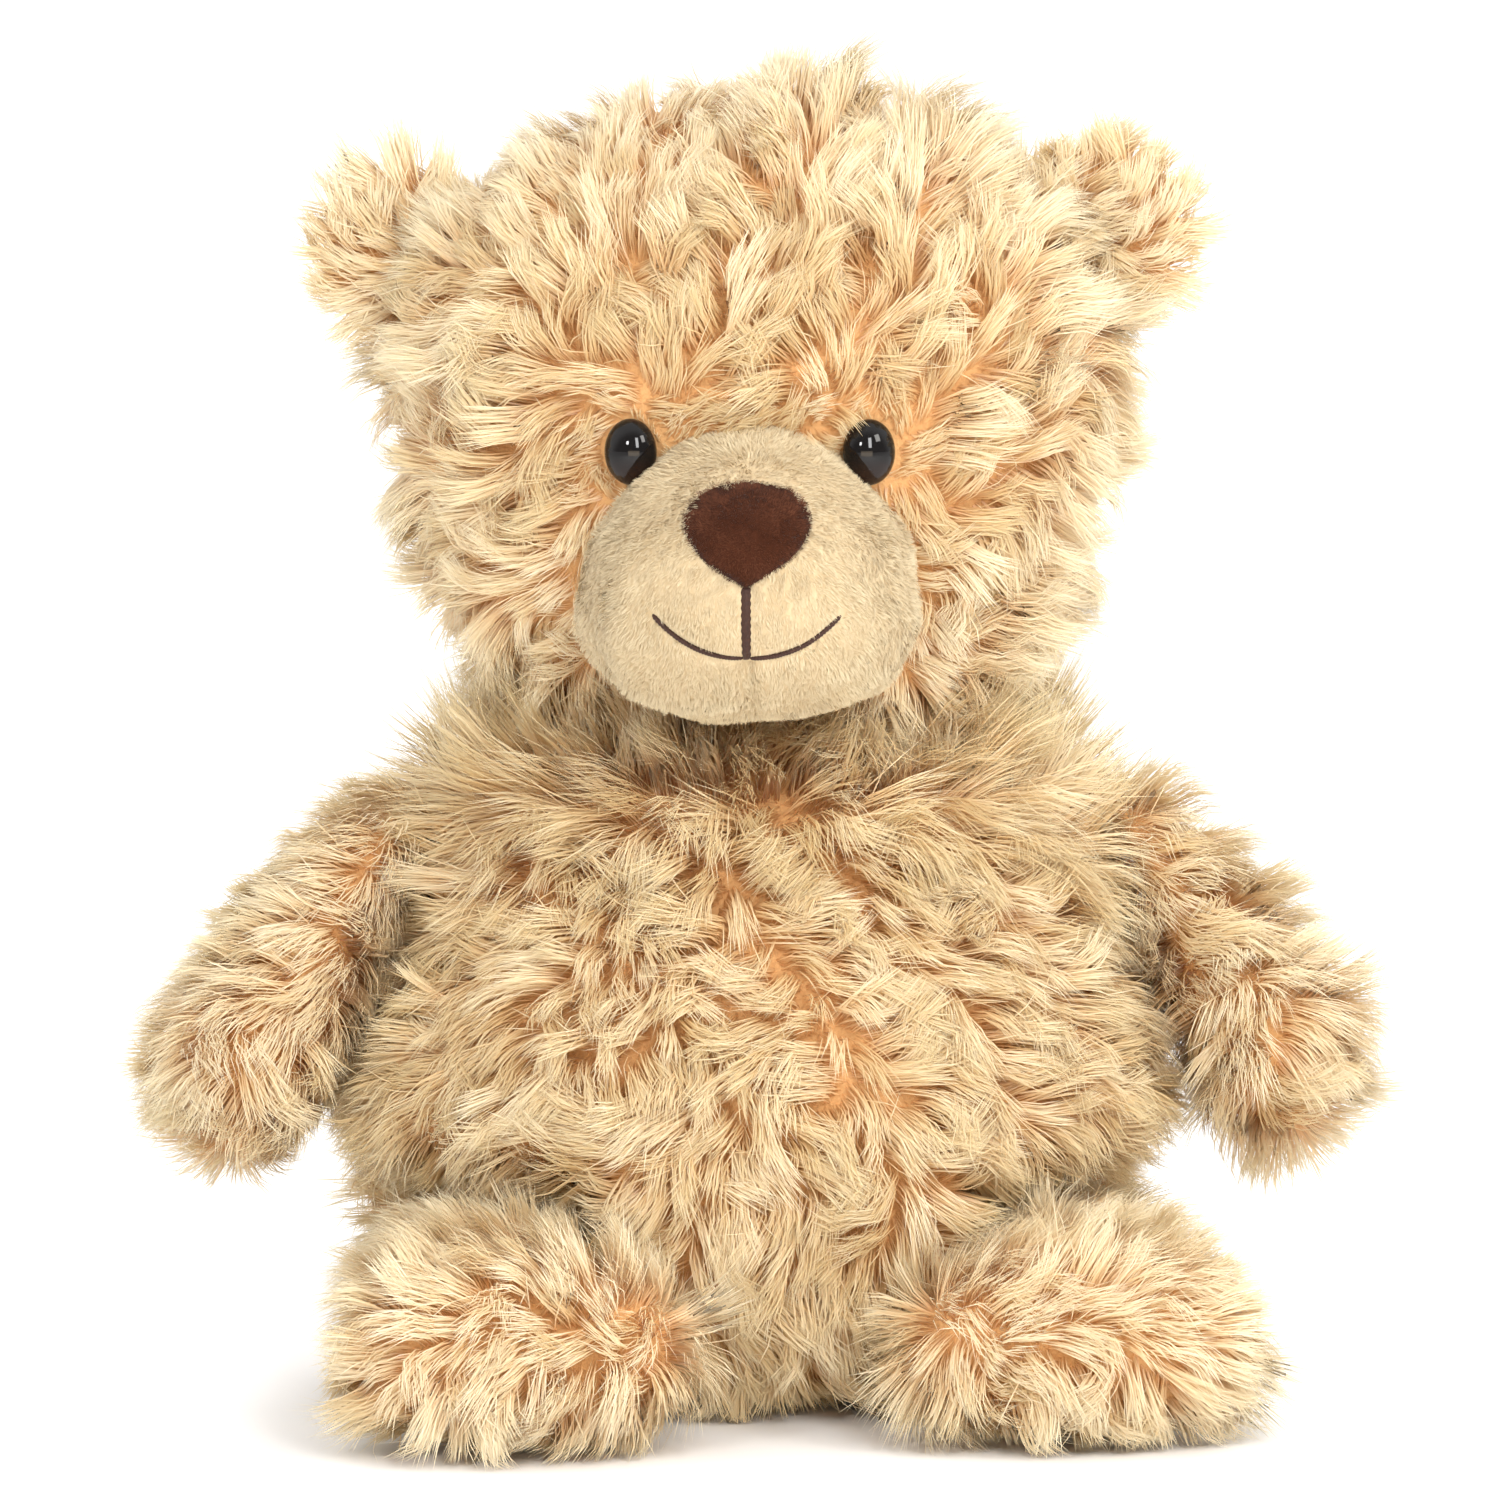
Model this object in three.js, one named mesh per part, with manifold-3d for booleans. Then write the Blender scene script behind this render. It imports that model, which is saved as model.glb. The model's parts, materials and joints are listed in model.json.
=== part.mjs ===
// A jointed teddy bear sitting on the floor, in millimetres, +Z up.
// Its belly faces -Y. Left and right are the bear's own, so its left side is +X.
// The origin is on the floor, under the middle of the body's flat base.
// Fur panels are drawn at the thickness of backing and packed pile together.

import * as THREE from "three";
import { mergeVertices } from "three/addons/utils/BufferGeometryUtils.js";
import Module from "manifold-3d";

const wasm = await Module();
wasm.setup();

const degree = Math.PI / 180;

// Clearances and cloth
const gap = 0.4; // between neighbours that touch
const plush = 6; // a fur panel
const velour = 2.5; // the short nap cloth of the muzzle
const around = { outside: 20, inside: 14 }; // sides of a body or head section
const limbAround = { outside: 14, inside: 10 }; // sides of an arm or leg section
const roundSides = 12; // sides of a turned plastic piece
const ball = { around: 14, down: 8 }; // sides and rows of an ear or an eye
const muzzleBall = { around: 18, down: 8 };
const outlineSides = 8; // straight pieces to each curve of an outline

// Body: rings of [height, half width, half depth, centre y], flat at both ends
const bodyRings = [
  [0, 58, 50, 2],
  [7, 76, 65, 1],
  [24, 88, 75, -1],
  [50, 93, 80, -3],
  [80, 90, 77, -3],
  [110, 80, 67, -1],
  [134, 70, 56, 1],
  [147, 57, 46, 2],
  [152.5, 44, 36, 2],
];
const bodySteps = { outside: 10, inside: 7 };
const baseHigh = 7; // where the base panel meets the side panels
const sideSeam = 20; // y of the seam between front and back panels
const legRoom = { inner: 44, back: 8, top: 53 }; // hollow for a thigh, under the belly

// Head: rings as for the body, in the head's own frame on the neck's axis
const headRings = [
  [153.3, 42, 35, 0],
  [157, 54, 45, 0],
  [166, 63, 53, 0],
  [184, 72, 60, 0],
  [206, 78, 63, 0],
  [230, 83, 64, 1],
  [252, 81, 60, 2],
  [270, 70, 51, 3],
  [285, 52, 39, 4],
  [295.5, 28, 23, 5],
  [299.5, 7, 6, 5],
];
const headSteps = { outside: 11, inside: 7 };
const headTurn = -6.7 * degree; // the head looks a little to the bear's right
const gussetHalf = 20; // half width of the strip over the crown
const gussetFront = 206; // lowest point of that strip on the face

// Muzzle: a swelling of the face, y = root - length * sqrt(1 - |x / w|^p - |(z - high) / h|^p).
// Its width w falls with height: w = halfWidth * (1 - narrow * d - round * d^2), d = (z - high) / h.
const muzzle = { high: 193, halfWidth: 37.2, halfHeight: 32.5, root: -55, length: 44, power: 2.3 };
const muzzleEgg = { narrow: 0.21, round: 0.06 };

// Nose and eyes: the visible shape, then a stem through the cloth and a washer on it inside
const nose = { high: 207.5, halfWidth: 14.2, top: 8.8, bottom: 13.8, thick: 3.2, tilt: 14 * degree };
const noseStem = { radius: 3, deep: 13, top: 1.8, washer: 7, washerThick: 2.5, tail: 2 };
const eye = { out: 26.8, high: 220.5, halfWidth: 6, halfHeight: 7.5, dome: 5, turn: 17 * degree };
const eyeStem = { radius: 2, deep: 12, top: 1, washer: 6, washerThick: 2, tail: 1.5 };
const eyeSunk = 0.3; // the dome's rim lies this far under the head's surface

// Mouth: a middle stitch and a smile, height = drop + rise * (x / halfWidth)^curve
const mouth = { drop: 177.6, top: 192.5, halfWidth: 21.4, rise: 10, curve: 2.4 };
const thread = { smile: 0.7, middle: 1.12, clear: 1.4, tip: 2, points: 5, steps: 8, sides: 3 };
const ear = { out: 80, back: 6, high: { left: 266, right: 260 }, radius: 22, halfThick: 8.5 };

// Arm: rings of [distance along it, half width, half thickness, centre of the thickness]
const armRings = [
  [-31, 7, 3, 5.5],
  [-26, 14, 5.5, 7.5],
  [-14, 19.5, 10.5, 11.5],
  [5, 21.5, 14, 14.8],
  [30, 22.5, 17, 17.8],
  [49, 24, 19.5, 20.2],
  [61, 21, 17, 19.5],
  [69.5, 12, 10.5, 18.5],
  [72.5, 4.5, 4, 18],
];
const armSteps = { outside: 8, inside: 6 };
const armSeam = 17; // thickness where the outer and the inner panel meet
const shoulder = { high: 112, y: -1, lean: 24 * degree, forward: 18 * degree, sag: 3 };

// Leg: rings of [distance forward, half width, half height, centre x, centre z]
const legRings = [
  [-4, 6, 7, 67, 26],
  [-1, 13, 14.5, 67, 26],
  [6, 19, 20.5, 67, 26],
  [20, 21.5, 23.5, 67, 26],
  [52, 22, 23, 67.2, 26],
  [74, 23, 22.5, 67, 25],
  [88, 35, 23, 63.5, 24],
  [101, 40, 23, 62.5, 23.6],
  [113, 36, 20.5, 62.5, 23.6],
  [120, 24, 13, 62.5, 23.6],
  [122.5, 9, 5.5, 62.5, 23.6],
];
const legSteps = { outside: 10, inside: 7 };
const legSeam = 64; // x where the outer and the inner panel meet
const hip = { y: -20, z: 26 };
const footBack = -77; // y where the foot starts and the thigh's flat inner face ends

// Plastic joint set: disc with a stem in the limb, washer and locking ring in the body
const disc = { radius: 14, thick: 2.4, stem: 4, ring: 8, ringThick: 4, tail: 2 };
const stemClear = 0.6;

const looks = {
  fur: { color: 0xdeba87, roughness: 0.9 },
  velour: { color: 0xdfc194, roughness: 0.85 },
  stuffing: { color: 0xf3f0e8, roughness: 0.95 },
  plastic: { color: 0xe6e2d6, roughness: 0.45 },
  eye: { color: 0x0c0a09, roughness: 0.06 },
  nose: { color: 0x522d1e, roughness: 0.92 },
  thread: { color: 0x3b1c11, roughness: 0.7 },
};

// A closed geometry as a solid to join and cut.
function solidFrom(geometry) {
  const bare = geometry.clone();
  bare.deleteAttribute("normal");
  bare.deleteAttribute("uv");
  const merged = mergeVertices(bare, 1e-3);
  const vertProperties = merged.attributes.position.array;
  const triVerts = new Uint32Array(merged.index.array);
  return new wasm.Manifold(new wasm.Mesh({ numProp: 3, vertProperties, triVerts }));
}

function geometryFrom(solid) {
  const mesh = solid.getMesh();
  const geometry = new THREE.BufferGeometry();
  geometry.setAttribute("position", new THREE.BufferAttribute(mesh.vertProperties, 3));
  geometry.setIndex(new THREE.BufferAttribute(mesh.triVerts, 1));
  geometry.computeVertexNormals();
  return geometry;
}

function addMesh(group, name, solid, look) {
  const mesh = new THREE.Mesh(geometryFrom(solid), new THREE.MeshStandardMaterial(looks[look]));
  mesh.name = name;
  group.add(mesh);
}

function block(low, high) {
  const size = high.map((value, axis) => value - low[axis]);
  const geometry = new THREE.BoxGeometry(...size);
  geometry.translate(...low.map((value, axis) => value + size[axis] / 2));
  return solidFrom(geometry);
}

// A turned solid about Z from its [radius, height] corners, in order up the outside.
function turned(corners) {
  const profile = corners.map(([radius, height]) => new THREE.Vector2(radius, height));
  const geometry = new THREE.LatheGeometry(profile, roundSides);
  geometry.rotateX(90 * degree);
  return geometry;
}

function rod(radius, low, high) {
  return turned([
    [0, low],
    [radius, low],
    [radius, high],
    [0, high],
  ]);
}

// Oval sections stacked along Z through rings of [height, half width, half depth, centre y, centre x].
// A lathe gives the mesh, and each of its vertices then moves onto the oval of its own level.
function stacked(rings, steps, sides) {
  const ovals = new THREE.CatmullRomCurve3(rings.map((ring) => new THREE.Vector3(ring[1], ring[2], ring[0])));
  const centres = new THREE.CatmullRomCurve3(
    rings.map((ring) => new THREE.Vector3(ring[4] ?? 0, ring[3] ?? 0, ring[0])),
  );
  const levels = [];
  for (let step = 0; step <= steps; step += 1) {
    const oval = ovals.getPoint(step / steps);
    levels.push({ oval, centre: centres.getPoint(step / steps) });
  }
  const first = levels[0];
  const last = levels[steps];
  const closed = [first, ...levels, last];
  const profile = closed.map(({ oval }, index) => {
    const radius = index === 0 || index === closed.length - 1 ? 0 : 1;
    return new THREE.Vector2(radius, oval.z);
  });
  const geometry = new THREE.LatheGeometry(profile, sides);
  geometry.rotateX(90 * degree);
  const position = geometry.attributes.position;
  for (let vertex = 0; vertex < position.count; vertex += 1) {
    const { oval, centre } = closed[vertex % closed.length];
    const x = centre.x + position.getX(vertex) * oval.x;
    const y = centre.y + position.getY(vertex) * oval.y;
    position.setXYZ(vertex, x, y, oval.z);
  }
  return geometry;
}

// The same rings drawn in by a cloth's thickness on every side.
function drawnIn(rings, thick) {
  const low = rings[0][0];
  const high = rings[rings.length - 1][0];
  const squeeze = (high - low - 2 * thick) / (high - low);
  return rings.map(([height, wide, deep, ...centre]) => [
    low + thick + (height - low) * squeeze,
    Math.max(wide - thick, wide * 0.3),
    Math.max(deep - thick, deep * 0.3),
    ...centre,
  ]);
}

// Solids of a stuffed piece: its outside, the room inside its cloth, and its stuffing.
function stuffed(rings, steps, sides, place = (geometry) => geometry) {
  const inside = (thick) => stacked(drawnIn(rings, thick), steps.inside, sides.inside);
  return {
    outside: solidFrom(place(stacked(rings, steps.outside, sides.outside))),
    room: solidFrom(place(inside(plush))),
    filling: solidFrom(place(inside(plush + gap))),
  };
}

// Joint set about Z: the body's cloth ends at 0 and the limb lies above it.
// sag is how far a rounded body falls away from the joint's plane under the washer.
function jointSolids(sag) {
  const limbFace = gap + plush + gap;
  const washerTop = -plush - gap - sag;
  const washerLow = washerTop - disc.thick;
  const ringTop = washerLow - gap;
  const ringLow = ringTop - disc.ringThick;
  const stemEnd = ringLow - disc.tail;
  const bore = disc.stem + stemClear;
  const sleeve = (radius, low, high) =>
    turned([
      [bore, low],
      [radius, low],
      [radius, high],
      [bore, high],
      [bore, low],
    ]);
  return {
    disc: turned([
      [0, stemEnd],
      [disc.stem, stemEnd],
      [disc.stem, limbFace],
      [disc.radius, limbFace],
      [disc.radius, limbFace + disc.thick],
      [0, limbFace + disc.thick],
    ]),
    washer: sleeve(disc.radius, washerLow, washerTop),
    ring: sleeve(disc.ring, ringLow, ringTop),
    stemHole: rod(bore, stemEnd, limbFace + gap),
    limbPocket: rod(disc.radius + gap, limbFace - 2 * gap, limbFace + disc.thick + gap),
    bodyPocket: rod(disc.radius + gap, stemEnd - gap, washerTop + sag + 2 * gap),
  };
}

// All of a joint's solids, moved from the Z axis to where the joint is.
function placedJoint(matrix, sag) {
  const solids = {};
  for (const [name, geometry] of Object.entries(jointSolids(sag))) {
    solids[name] = solidFrom(geometry.applyMatrix4(matrix));
  }
  return solids;
}

function addJoint(limb, torso, name, joint) {
  addMesh(limb, `${name}_disc`, joint.disc, "plastic");
  addMesh(limb, `${name}_lock_ring`, joint.ring, "plastic");
  addMesh(torso, `${name}_washer`, joint.washer, "plastic");
}

// Distance along a direction to the furthest point of a solid.
function reach(solid, direction) {
  const { vertProperties } = solid.getMesh();
  let furthest = -Infinity;
  for (let index = 0; index < vertProperties.length; index += 3) {
    const along = direction.dot(new THREE.Vector3().fromArray(vertProperties, index));
    furthest = Math.max(furthest, along);
  }
  return furthest;
}

const far = 400; // beyond the bear on every side

// The thigh's hollow on the bear's left, grown by the cloth that lines it.
function legRoomBlock(grown) {
  return block([legRoom.inner - grown, -far, -far], [far, legRoom.back + grown, legRoom.top + grown]);
}

function mirrored(solid) {
  const flip = new THREE.Matrix4().makeScale(-1, 1, 1);
  const geometry = geometryFrom(solid).applyMatrix4(flip);
  const index = geometry.index;
  for (let corner = 0; corner < index.count; corner += 3) {
    const second = index.getX(corner + 1);
    index.setX(corner + 1, index.getX(corner + 2));
    index.setX(corner + 2, second);
  }
  return solidFrom(geometry);
}

function withLegRoom(solid, grown) {
  const room = legRoomBlock(grown);
  return solid.subtract(room).subtract(mirrored(room));
}

function bodySolids() {
  const body = stuffed(bodyRings, bodySteps, around);
  return {
    outside: withLegRoom(body.outside, 0),
    room: withLegRoom(body.room, plush),
    filling: withLegRoom(body.filling, plush + gap),
  };
}

const body = bodySolids();

// The arm hangs against a plane that leans with the side of the body and touches it.
const shoulderOut = new THREE.Vector3(Math.cos(shoulder.lean), 0, Math.sin(shoulder.lean));
const shoulderReach = reach(body.outside, shoulderOut);
const shoulderX = (shoulderReach - shoulder.high * shoulderOut.z) / shoulderOut.x;
const shoulderPoint = new THREE.Vector3(shoulderX, shoulder.y, shoulder.high);

function shoulderJoint() {
  const turn = new THREE.Quaternion().setFromUnitVectors(new THREE.Vector3(0, 0, 1), shoulderOut);
  const matrix = new THREE.Matrix4().makeRotationFromQuaternion(turn).setPosition(shoulderPoint);
  return placedJoint(matrix, shoulder.sag);
}

function hipJoint() {
  const matrix = new THREE.Matrix4().makeRotationY(90 * degree).setPosition(legRoom.inner, hip.y, hip.z);
  return placedJoint(matrix, 0);
}

function neckJoint() {
  const top = bodyRings[bodyRings.length - 1][0];
  return placedJoint(new THREE.Matrix4().makeTranslation(0, 0, top + gap), 0);
}

const joints = { shoulder: shoulderJoint(), hip: hipJoint(), neck: neckJoint() };

// Body: four side panels, the base, and the stuffing with hollows round the joint sets.
function addTorso(torso) {
  const cloth = body.outside.subtract(body.room);
  const shell = cloth.subtract(joints.neck.stemHole).subtract(joints.neck.bodyPocket);
  const halfGap = gap / 2;
  const front = block([halfGap, -far, baseHigh + halfGap], [far, sideSeam - halfGap, far]);
  const back = block([halfGap, sideSeam + halfGap, baseHigh + halfGap], [far, far, far]);
  let frontLeft = shell.intersect(front);
  for (const joint of [joints.shoulder, joints.hip]) {
    frontLeft = frontLeft.subtract(joint.stemHole).subtract(joint.bodyPocket);
  }
  const backLeft = shell.intersect(back);
  addMesh(torso, "body_front_left", frontLeft, "fur");
  addMesh(torso, "body_front_right", mirrored(frontLeft), "fur");
  addMesh(torso, "body_back_left", backLeft, "fur");
  addMesh(torso, "body_back_right", mirrored(backLeft), "fur");
  const under = block([-far, -far, -far], [far, far, baseHigh - halfGap]);
  addMesh(torso, "body_base", shell.intersect(under), "fur");
  let filling = body.filling.subtract(joints.neck.bodyPocket);
  for (const joint of [joints.shoulder, joints.hip]) {
    filling = filling.subtract(joint.bodyPocket).subtract(mirrored(joint.bodyPocket));
  }
  addMesh(torso, "body_stuffing", filling, "stuffing");
}

// Share of the muzzle's half width at a height, where 0 is its middle and 1 its top.
function muzzleWidth(level) {
  return 1 - muzzleEgg.narrow * level - muzzleEgg.round * level ** 2;
}

// Front face of the muzzle at a place on it, pushed out by a little more.
function muzzleFront(x, z, more = 0) {
  const level = (z - muzzle.high) / muzzle.halfHeight;
  const across = Math.abs(x / (muzzle.halfWidth * muzzleWidth(level))) ** muzzle.power;
  const up = Math.abs(level) ** muzzle.power;
  return muzzle.root - muzzle.length * Math.sqrt(Math.max(1 - across - up, 0)) - more;
}

// The muzzle's swelling as a whole solid: a sphere whose outline follows the power curve.
function muzzleSolid(grown) {
  const geometry = new THREE.SphereGeometry(1, muzzleBall.around, muzzleBall.down);
  const position = geometry.attributes.position;
  for (let vertex = 0; vertex < position.count; vertex += 1) {
    const [x, y, z] = [position.getX(vertex), position.getY(vertex), position.getZ(vertex)];
    // y is the sphere's own axis, which points out of the face, so x and z span its outline.
    const round = Math.hypot(x, z);
    const angle = Math.atan2(z, x);
    const power = muzzle.power;
    const stretch = (Math.abs(Math.cos(angle)) ** power + Math.abs(Math.sin(angle)) ** power) ** (-1 / power);
    const spread = round > 1e-6 ? round ** (2 / power) * stretch : 0;
    const level = -Math.sin(angle) * spread;
    position.setXYZ(
      vertex,
      Math.cos(angle) * spread * (muzzle.halfWidth * muzzleWidth(level) + grown),
      muzzle.root - y * (muzzle.length + grown),
      muzzle.high + level * (muzzle.halfHeight + grown),
    );
  }
  return solidFrom(geometry);
}

// Matrix from a piece's own frame, whose +Z points out of the face, to its place on the head.
function faceMatrix(point, turn, tilt) {
  const matrix = new THREE.Matrix4().makeRotationZ(turn);
  matrix.multiply(new THREE.Matrix4().makeRotationX(90 * degree - tilt));
  return matrix.setPosition(point);
}

function ovalSolid(outline, low, high, matrix) {
  const options = { depth: high - low, bevelEnabled: false, curveSegments: outlineSides };
  const geometry = new THREE.ExtrudeGeometry(outline, options);
  geometry.translate(0, 0, low);
  return solidFrom(geometry.applyMatrix4(matrix));
}

// Rounded triangle, wide at the top and pointed at the bottom.
function noseOutline() {
  const { halfWidth, top, bottom } = nose;
  const outline = new THREE.Shape();
  outline.moveTo(0, -bottom);
  outline.bezierCurveTo(halfWidth * 0.35, -bottom, halfWidth, -bottom * 0.45, halfWidth, 0);
  outline.bezierCurveTo(halfWidth, top * 0.65, halfWidth * 0.6, top, 0, top);
  outline.bezierCurveTo(-halfWidth * 0.6, top, -halfWidth, top * 0.65, -halfWidth, 0);
  outline.bezierCurveTo(-halfWidth, -bottom * 0.45, -halfWidth * 0.35, -bottom, 0, -bottom);
  return outline;
}

// Stem about Z with its washer near the end, the hole that it needs and the washer's pocket.
function stemSolids(stem, pocketTop, matrix) {
  const bore = stem.radius + gap;
  const low = -stem.deep;
  const washerLow = low + stem.tail;
  const washerHigh = washerLow + stem.washerThick;
  const washer = turned([
    [bore, washerLow],
    [stem.washer, washerLow],
    [stem.washer, washerHigh],
    [bore, washerHigh],
    [bore, washerLow],
  ]);
  const placed = (geometry) => solidFrom(geometry.applyMatrix4(matrix));
  return {
    stem: placed(rod(stem.radius, low, stem.top)),
    washer: placed(washer),
    hole: placed(rod(bore, low - gap, nose.thick)),
    pocket: placed(rod(stem.washer + gap, low - gap, pocketTop)),
  };
}

// A thread laid along points on the muzzle.
function threadSolid(points, radius) {
  const section = new THREE.Shape();
  section.absarc(0, 0, radius, 0, 2 * Math.PI);
  const path = new THREE.CatmullRomCurve3(points);
  const options = { steps: thread.steps, extrudePath: path, curveSegments: thread.sides, bevelEnabled: false };
  return solidFrom(new THREE.ExtrudeGeometry(section, options));
}

function mouthPoint(x, z, radius) {
  return new THREE.Vector3(x, muzzleFront(x, z, radius + gap), z);
}

function smilePoints() {
  const start = thread.smile + thread.clear + gap;
  const long = mouth.halfWidth - thread.tip;
  const points = [];
  for (let step = 0; step <= thread.points; step += 1) {
    const x = start + (long * step) / thread.points;
    const z = mouth.drop + mouth.rise * (x / mouth.halfWidth) ** mouth.curve;
    points.push(mouthPoint(x, z, thread.smile));
  }
  return points;
}

function middlePoints() {
  const low = mouth.drop - thread.smile;
  return [0, 0.5, 1].map((share) => mouthPoint(0, THREE.MathUtils.lerp(mouth.top, low, share), thread.middle));
}

// One ear on the bear's left, at a height: two fur panels, front and back, seamed round the rim.
function earSolids(headOutside, high) {
  const round = new THREE.SphereGeometry(1, ball.around, ball.down);
  round.rotateX(90 * degree);
  round.scale(ear.radius, ear.halfThick, ear.radius);
  round.translate(ear.out, ear.back, high);
  const whole = solidFrom(round).subtract(headOutside);
  const front = block([-far, -far, -far], [far, ear.back - gap / 2, far]);
  const back = block([-far, ear.back + gap / 2, -far], [far, far, far]);
  return { front: whole.intersect(front), back: whole.intersect(back) };
}

// One eye on the bear's left: a black dome with a stem, and the washer that holds it inside.
function eyeSolids(headSurface) {
  const point = new THREE.Vector3(eye.out, headSurface - eyeSunk, eye.high);
  const matrix = faceMatrix(point, eye.turn, 0);
  const round = new THREE.SphereGeometry(1, ball.around, ball.down);
  round.rotateX(90 * degree);
  round.scale(eye.halfWidth, eye.halfHeight, eye.dome);
  const upper = solidFrom(round).intersect(block([-far, -far, 0], [far, far, far]));
  const dome = solidFrom(geometryFrom(upper).applyMatrix4(matrix));
  const fixing = stemSolids(eyeStem, 1 - plush, matrix);
  const outline = new THREE.Shape();
  outline.absellipse(0, 0, eye.halfWidth + gap, eye.halfHeight + gap, 0, 2 * Math.PI);
  return {
    ...fixing,
    whole: dome.add(fixing.stem),
    clearance: ovalSolid(outline, -gap / 2, eye.dome * 4, matrix),
  };
}

function noseSolids() {
  const point = new THREE.Vector3(0, muzzleFront(0, nose.high), nose.high);
  const matrix = faceMatrix(point, 0, nose.tilt);
  const pad = muzzleSolid(nose.thick).subtract(muzzleSolid(gap));
  const fixing = stemSolids(noseStem, -velour - gap, matrix);
  const shape = ovalSolid(noseOutline(), -noseStem.deep, noseStem.deep, matrix);
  return { ...fixing, whole: pad.intersect(shape).add(fixing.stem) };
}

// Y of the head's front at a place given by x and height, from its own rings.
function headFront(x, high) {
  const upper = headRings.findIndex((ring) => ring[0] > high);
  const [below, above] = [headRings[upper - 1], headRings[upper]];
  const share = (high - below[0]) / (above[0] - below[0]);
  const [wide, deep, centre] = [1, 2, 3].map((axis) => THREE.MathUtils.lerp(below[axis], above[axis], share));
  return centre - deep * Math.sqrt(1 - (x / wide) ** 2);
}

function addHead(head) {
  const grownRings = drawnIn(headRings, -gap);
  const headOutside = solidFrom(stacked(grownRings, headSteps.outside, around.outside));
  const { outside, room, filling } = stuffed(headRings, headSteps, around);
  const leftEye = eyeSolids(headFront(eye.out, eye.high));
  const rightEye = Object.fromEntries(Object.entries(leftEye).map(([key, solid]) => [key, mirrored(solid)]));
  const pad = noseSolids();
  const muzzleHole = muzzleSolid(-velour - gap);

  let shell = outside.subtract(room).subtract(joints.neck.stemHole).subtract(muzzleHole);
  for (const oneEye of [leftEye, rightEye]) {
    shell = shell.subtract(oneEye.hole).subtract(oneEye.pocket).subtract(oneEye.clearance);
  }
  const crown = block([-gussetHalf, -far, gussetFront], [gussetHalf, far, far]);
  const nape = block([-gussetHalf, 0, 0], [gussetHalf, far, far]);
  const strip = crown.add(nape);
  const crownClear = block([-gussetHalf - gap, -far, gussetFront - gap], [gussetHalf + gap, far, far]);
  const napeClear = block([-gussetHalf - gap, -gap, 0], [gussetHalf + gap, far, far]);
  const sides = shell.subtract(crownClear).subtract(napeClear);
  const leftHalf = block([gap / 2, -far, -far], [far, far, far]);
  const sideLeft = sides.intersect(leftHalf);
  addMesh(head, "head_gusset", shell.intersect(strip), "fur");
  addMesh(head, "head_side_left", sideLeft, "fur");
  addMesh(head, "head_side_right", mirrored(sideLeft), "fur");

  let cover = muzzleSolid(0).subtract(muzzleSolid(-velour)).subtract(headOutside).subtract(pad.hole);
  cover = cover.subtract(leftEye.clearance).subtract(rightEye.clearance);
  const coverLeft = cover.intersect(leftHalf);
  addMesh(head, "muzzle_left", coverLeft, "velour");
  addMesh(head, "muzzle_right", mirrored(coverLeft), "velour");

  let packed = filling.intersect(mirrored(filling)).add(muzzleSolid(-velour - 2 * gap));
  packed = packed.subtract(joints.neck.limbPocket);
  for (const piece of [leftEye, rightEye, pad]) {
    packed = packed.subtract(piece.pocket).subtract(piece.hole);
  }
  addMesh(head, "head_stuffing", packed, "stuffing");

  addMesh(head, "eye_left", leftEye.whole, "eye");
  addMesh(head, "eye_right", rightEye.whole, "eye");
  addMesh(head, "eye_washer_left", leftEye.washer, "plastic");
  addMesh(head, "eye_washer_right", rightEye.washer, "plastic");
  addMesh(head, "nose", pad.whole, "nose");
  addMesh(head, "nose_washer", pad.washer, "plastic");

  const smile = threadSolid(smilePoints(), thread.smile);
  addMesh(head, "mouth_stitch_middle", threadSolid(middlePoints(), thread.middle), "thread");
  addMesh(head, "mouth_stitch_left", smile, "thread");
  addMesh(head, "mouth_stitch_right", mirrored(smile), "thread");

  const leftEar = earSolids(headOutside, ear.high.left);
  const rightEar = earSolids(headOutside, ear.high.right);
  addMesh(head, "ear_front_left", leftEar.front, "fur");
  addMesh(head, "ear_front_right", mirrored(rightEar.front), "fur");
  addMesh(head, "ear_back_left", leftEar.back, "fur");
  addMesh(head, "ear_back_right", mirrored(rightEar.back), "fur");
}

// Arm in its own frame: Z up along it from the joint, X out of its flat inner face, Y backwards.
function armGeometry(geometry) {
  geometry.rotateX(180 * degree);
  geometry.rotateZ(90 * degree);
  return geometry;
}

function armMatrix() {
  const swing = new THREE.Matrix4().makeRotationX(-shoulder.forward);
  const lean = new THREE.Matrix4().makeRotationY(-shoulder.lean);
  return new THREE.Matrix4().multiplyMatrices(lean, swing).setPosition(shoulderPoint);
}

function armSolids() {
  const matrix = armMatrix();
  const place = (geometry) => armGeometry(geometry);
  const arm = stuffed(armRings, armSteps, limbAround, place);
  const faceAt = (depth) => block([depth, -far, -far], [far, far, far]);
  const outside = arm.outside.intersect(faceAt(gap));
  const room = arm.room.intersect(faceAt(gap + plush));
  const filling = arm.filling.intersect(faceAt(gap + plush + gap));
  const shell = outside.subtract(room);
  const inner = shell.subtract(faceAt(armSeam - gap / 2));
  const toBody = (solid) => solidFrom(geometryFrom(solid).applyMatrix4(matrix));
  const joint = joints.shoulder;
  return {
    outer: toBody(shell.intersect(faceAt(armSeam + gap / 2))),
    inner: toBody(inner).subtract(joint.stemHole).subtract(joint.limbPocket),
    stuffing: toBody(filling).subtract(joint.limbPocket),
  };
}

// Leg in the bear's own frame: the stack's Z turns to point forwards.
function legGeometry(geometry) {
  geometry.rotateX(90 * degree);
  return geometry;
}

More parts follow.
